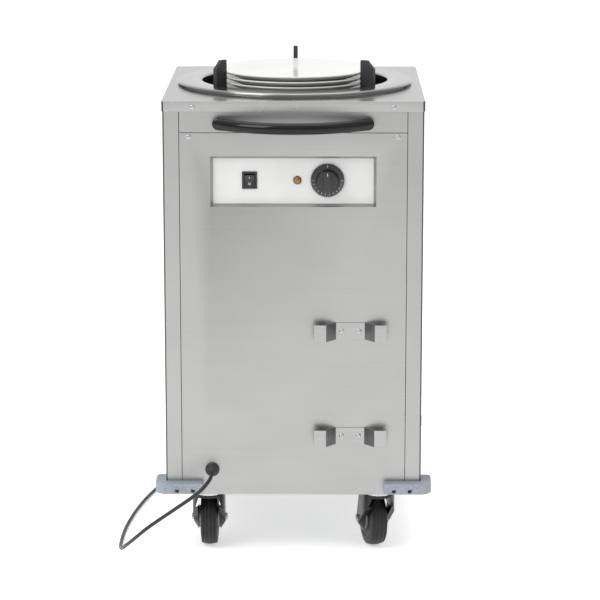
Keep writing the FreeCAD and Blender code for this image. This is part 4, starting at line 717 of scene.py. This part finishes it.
# gland: a flange and a snout; its radius falls evenly from the neck's to the tip's, less rounded ribs 3 mm apart,
# 0.55 (1 - cos(2 pi y / 3)) / 2. Behind the panel sit a neck of 8.3 and a nut
glandSize = {"x": -143.0, "z": 156.0, "flange": 12.5, "neck": 9.5, "tip": 5.5, "root": -250.0, "end": -268.0,
             "rib": 3.0, "ribDeep": 0.55, "throat": 8.3, "nut": 12.0}
flange, neck, tip = glandSize["flange"], glandSize["neck"], glandSize["tip"]
throat, nut, root, end = glandSize["throat"], glandSize["nut"], glandSize["root"], glandSize["end"]
snoutY = np.linspace(root, end + 0.6, 70)
ribs = glandSize["ribDeep"] * (1 - np.cos((snoutY - root) / glandSize["rib"] * 2 * math.pi)) / 2
snout = neck + (tip - neck) * (snoutY - root) / (end - root) - ribs
glandLine = np.concatenate([
    [[0, end], [tip - 0.8, end], [tip - 0.2, end + 0.3]], np.stack([snout, snoutY], -1)[::-1],
    roundedLine([(neck, root + 0.1), (neck, -245, 0.5), (neck + 1, -245, 0.3), (flange, -243, 1.2),
                 (flange, cabinetFront - seatGap), (throat, cabinetFront - seatGap), (throat, -238.8),
                 (nut, -238.8, 0.4), (nut, -233.8, 0.4), (throat, -233.8), (throat, -228.8, 0.4), (0, -228.8)],
                steps=4)])
piece("leadGland", [spun(glandLine, 64, (glandSize["x"], 0, glandSize["z"]), "y")], guideNylon, "cabinet", ["gland"],
      sharp=50)

# plug: relief with r = 3.42 + 1.38 (x / 46)^1.5 less rounded ribs 3.6 mm apart; body with a round start, a slightly
# rounded face and finger hollows of a bell curve 14 % deep; two blades and an earth pin
plugSize = {"relief": 44.0, "body": 36.0, "wide": 25.0, "thick": 21.0, "blade": 17.0, "earth": 20.0,
            "reliefStart": 3.42, "reliefGrow": 1.38, "rib": 3.6, "ribDeep": 0.35, "ribFrom": 3.0, "ribTo": 42.0,
            "bladeWide": 6.3, "bladeThick": 1.5, "bladeAt": 6.35, "bladeEase": 1.5, "pinR": 2.4, "pinsZ": 4.5}
reliefX = np.linspace(0, plugSize["relief"] + 2, 90)
ribbed = (reliefX > plugSize["ribFrom"]) * (reliefX < plugSize["ribTo"])
ribs = plugSize["ribDeep"] * (1 - np.cos(reliefX / plugSize["rib"] * 2 * math.pi)) / 2 * ribbed
reliefR = plugSize["reliefStart"] + plugSize["reliefGrow"] * (reliefX / reliefX[-1]) ** 1.5 - ribs
reliefLine = np.concatenate([[[0, 0]], np.stack([reliefR, reliefX], -1), [[0, reliefX[-1]]]])
relief = spun(reliefLine, 32, plugStart, "x")
bodyX = np.linspace(0, plugSize["body"], 25)
startRound = np.sqrt(np.clip(bodyX / 9, 0, 1))
faceRound = np.sqrt(np.clip((plugSize["body"] - bodyX) / 1.2, 0, 1)) * 0.08 + 0.92
endRound = np.minimum(startRound, faceRound)
hollow = 1 - 0.14 * np.exp(-((bodyX - 17) / 7) ** 2)
section = roundedBox(1.0, 1.0, 0.2, steps=7)
sizeY = plugSize["wide"] * (0.42 + 0.58 * endRound) * hollow
sizeZ = plugSize["thick"] * (0.45 + 0.55 * endRound)
bodyPoints = np.stack([plugStart[0] + plugSize["relief"] + bodyX[:, None] + 0 * section[None, :, 0],
                       plugStart[1] + sizeY[:, None] * section[None, :, 0],
                       plugStart[2] + sizeZ[:, None] * section[None, :, 1]], -1)
plugBody = grid(bodyPoints, wrapV=True, capped=True)
moulding = piece("plugMoulding", [relief, plugBody], pvcLead, "cabinet", ["plug"], sharp=50)
bladeLine = roundedBox(plugSize["bladeThick"], plugSize["bladeWide"], 0.3, steps=2)
faceX = plugStart[0] + plugSize["relief"] + plugSize["body"]
bladeTip = faceX + plugSize["blade"]
bladeLevels = [(faceX - 1, 0, 1), (bladeTip - plugSize["bladeEase"], 0, 1), (bladeTip, 0.35, 1)]
blades = [drawn(bladeLine, bladeLevels,
                lambda u, v, h, s=s: np.stack([h, plugStart[1] + s * plugSize["bladeAt"] + u,
                                               plugStart[2] + plugSize["pinsZ"] + v], -1)) for s in sides]
earthLine = roundedLine([(0, -1), (plugSize["pinR"], -1), (plugSize["pinR"], plugSize["earth"], 1.6),
                         (0, plugSize["earth"])])
earthPin = spun(earthLine, 24, (faceX, plugStart[1], plugStart[2] - plugSize["pinsZ"]), "x")
pins = piece("plugPins", blades + [earthPin], platedBrass, "cabinet", ["plug"], sharp=30)
print("gland and plug made")

# casters: enamelled fork, zinc bolt, rubber tyre and grey hub, turned about each swivel as in the source. The tyre's
# half profile runs from the hub out over its side rib, shoulder and two grooves to the middle of the tread
casterSize = {"x": 151.0, "y": 212.0, "trail": 36.0, "axle": 50.0, "half": 28.5, "nut": 6.5, "thick": 3.5,
              "nutEase": 0.6, "turns": 96, "near": 0.2, "past": 0.1}
casterTurns = {"front_left": 0.0, "front_right": 14.0, "rear_left": 172.0, "rear_right": 195.0}
tyreLine = roundedLine(mirrored([
    (20, -15.5), (24, -15.5, 0.4), (25, -14.7, 0.4), (33, -14.7, 0.5), (34.5, -15.5, 0.5), (36, -15.5, 0.8),
    (47.4, -14, 1.2), (48.6, -10.2, 0.4), (47.7, -9.7, 0.2), (48.8, -9.2, 0.4), (49.8, -4.2, 0.4), (48.8, -3.7, 0.2),
    (49.9, -3.2, 0.4)]), steps=3)
hubLine = roundedLine(mirrored([
    (4.05, -19), (9, -19, 0.5), (9.8, -17.6, 0.5), (15.5, -17.6, 0.5), (16.3, -19, 0.5), (19, -19, 0.8),
    (20, -18, 0.5)]), steps=3)
shaftLine = roundedLine(mirrored([(0, -31.9), (3.6, -31.9, 0.4), (4, -31, 0.2)]), steps=2)
sixSided = roundedLine([(casterSize["nut"] * math.cos(math.pi / 3 * k), casterSize["nut"] * math.sin(math.pi / 3 * k),
                         0.3) for k in range(6)], steps=2)
axle = (0, casterSize["trail"], casterSize["axle"])
for corner, degrees in casterTurns.items():
    spotX = casterSize["x"] * (-1 if corner.endswith("left") else 1)
    spotY = casterSize["y"] * (-1 if corner.startswith("front") else 1)
    turned = [swung(spun(line, casterSize["turns"], axle, "x", closed=True), degrees, spotX, spotY)
              for line in (tyreLine, hubLine)]
    piece(f"tyreTurned.{corner}", [turned[0]], tyreRubber, f"wheel_{corner}", [f"tyre_{corner}"],
          sharp=40)
    piece(f"hubTurned.{corner}", [turned[1]], hubPlastic, f"wheel_{corner}", [f"hub_{corner}"], sharp=40)
    bolts = [spun(shaftLine, 24, axle, "x")]
    for s in sides:
        start, end = s * casterSize["half"], s * (casterSize["half"] + casterSize["thick"])
        bolts.append(drawn(sixSided, [(start, 0, 1), (end - s * casterSize["nutEase"], 0, 1), (end, 0.5, 0.97)],
                           lambda u, v, h: np.stack([h, axle[1] + u, axle[2] + v], -1)))
    piece(f"axleBolt.{corner}", [swung(shell, degrees, spotX, spotY) for shell in bolts], zincSteel,
          f"swivel_{corner}", [f"fork_{corner}"], sharp=30)

    def notAxle(points):  # true for a triangle of the fork: the axle's lie near its line and past the legs or across
        x, y, z = points[:, 0] * 1000 - spotX, points[:, 1] * 1000 - spotY, points[:, 2] * 1000
        u, v = turnedBy(x, y, -math.radians(degrees))
        near = np.hypot(v - axle[1], z - axle[2]).max() < casterSize["nut"] + casterSize["near"]
        return not (near and (np.abs(u).max() > casterSize["half"] + casterSize["past"] or u.min() * u.max() < 0))

    softened(f"fork_{corner}", 0.7, forkEnamel, steps=3, keep=notAxle, name=f"forkEnamelled.{corner}")
softened("caster_plates", 0.5, zincSteel, steps=3)
print("casters made")

# stage: a wide sheet of pale paper, soft lamps overhead and at the sides, and a room that is darker in front. The
# room's light is the brighter of two ramps, from front to back and from low to high, less a little at the sides
stage = {"reach": 40.0, "floor": -0.0005, "roomFront": 0.5, "roomBack": 1.0, "roomTop": 1.0, "roomSides": 0.8}
floorMesh = bpy.data.meshes.new("floorPaper")
floorMesh.from_pydata([(x * stage["reach"], y * stage["reach"], stage["floor"])
                       for x, y in ((-1, -1), (1, -1), (1, 1), (-1, 1))], [], [(0, 1, 2, 3)])
floorMesh.materials.append(paper)
link("floorPaper", floorMesh)

world = bpy.data.worlds.new("room")
bpy.context.scene.world = world
world.use_nodes = True
tree = world.node_tree
tree.nodes.clear()
parts = addNode(tree, "ShaderNodeSeparateXYZ", {0: addNode(tree, "ShaderNodeTexCoord").outputs["Generated"]})
depth = addNode(tree, "ShaderNodeMapRange", {"Value": parts.outputs["Y"]},
                {"From Min": -0.7, "From Max": 0.7, "To Min": stage["roomFront"], "To Max": stage["roomBack"]})
height = addNode(tree, "ShaderNodeMapRange", {"Value": parts.outputs["Z"]},
                 {"From Min": 0.3, "From Max": 1.0, "To Min": stage["roomFront"], "To Max": stage["roomTop"]})
level = addNode(tree, "ShaderNodeMath", {0: depth.outputs[0], 1: height.outputs[0]}, operation="MAXIMUM")
across = addNode(tree, "ShaderNodeMath", {0: parts.outputs["X"]}, operation="ABSOLUTE")
flank = addNode(tree, "ShaderNodeMapRange", {"Value": across.outputs[0]},
                {"From Min": 0.55, "From Max": 0.9, "To Min": 1.0, "To Max": stage["roomSides"]})
shaded = addNode(tree, "ShaderNodeMath", {0: level.outputs[0], 1: flank.outputs[0]}, operation="MULTIPLY")
sky = addNode(tree, "ShaderNodeBackground", {"Strength": shaded.outputs[0]}, {"Color": (1, 1, 1, 1)})
addNode(tree, "ShaderNodeOutputWorld", {"Surface": sky.outputs[0]})

lamps = {"key": ((-2.2, -2.0, 3.0), (55, 0, -45), 2.0, 60), "fill": ((2.6, -1.6, 2.2), (60, 0, 55), 2.0, 4),
         "over": ((0, 0.2, 3.4), (0, 0, 0), 2.6, 25)}
for name, (place, turn, size, power) in lamps.items():
    light = bpy.data.lights.new(name, "AREA")
    light.size, light.energy = size, power
    holder = link(name, light)
    holder.location = place
    holder.rotation_euler = [math.radians(t) for t in turn]
print("stage set")
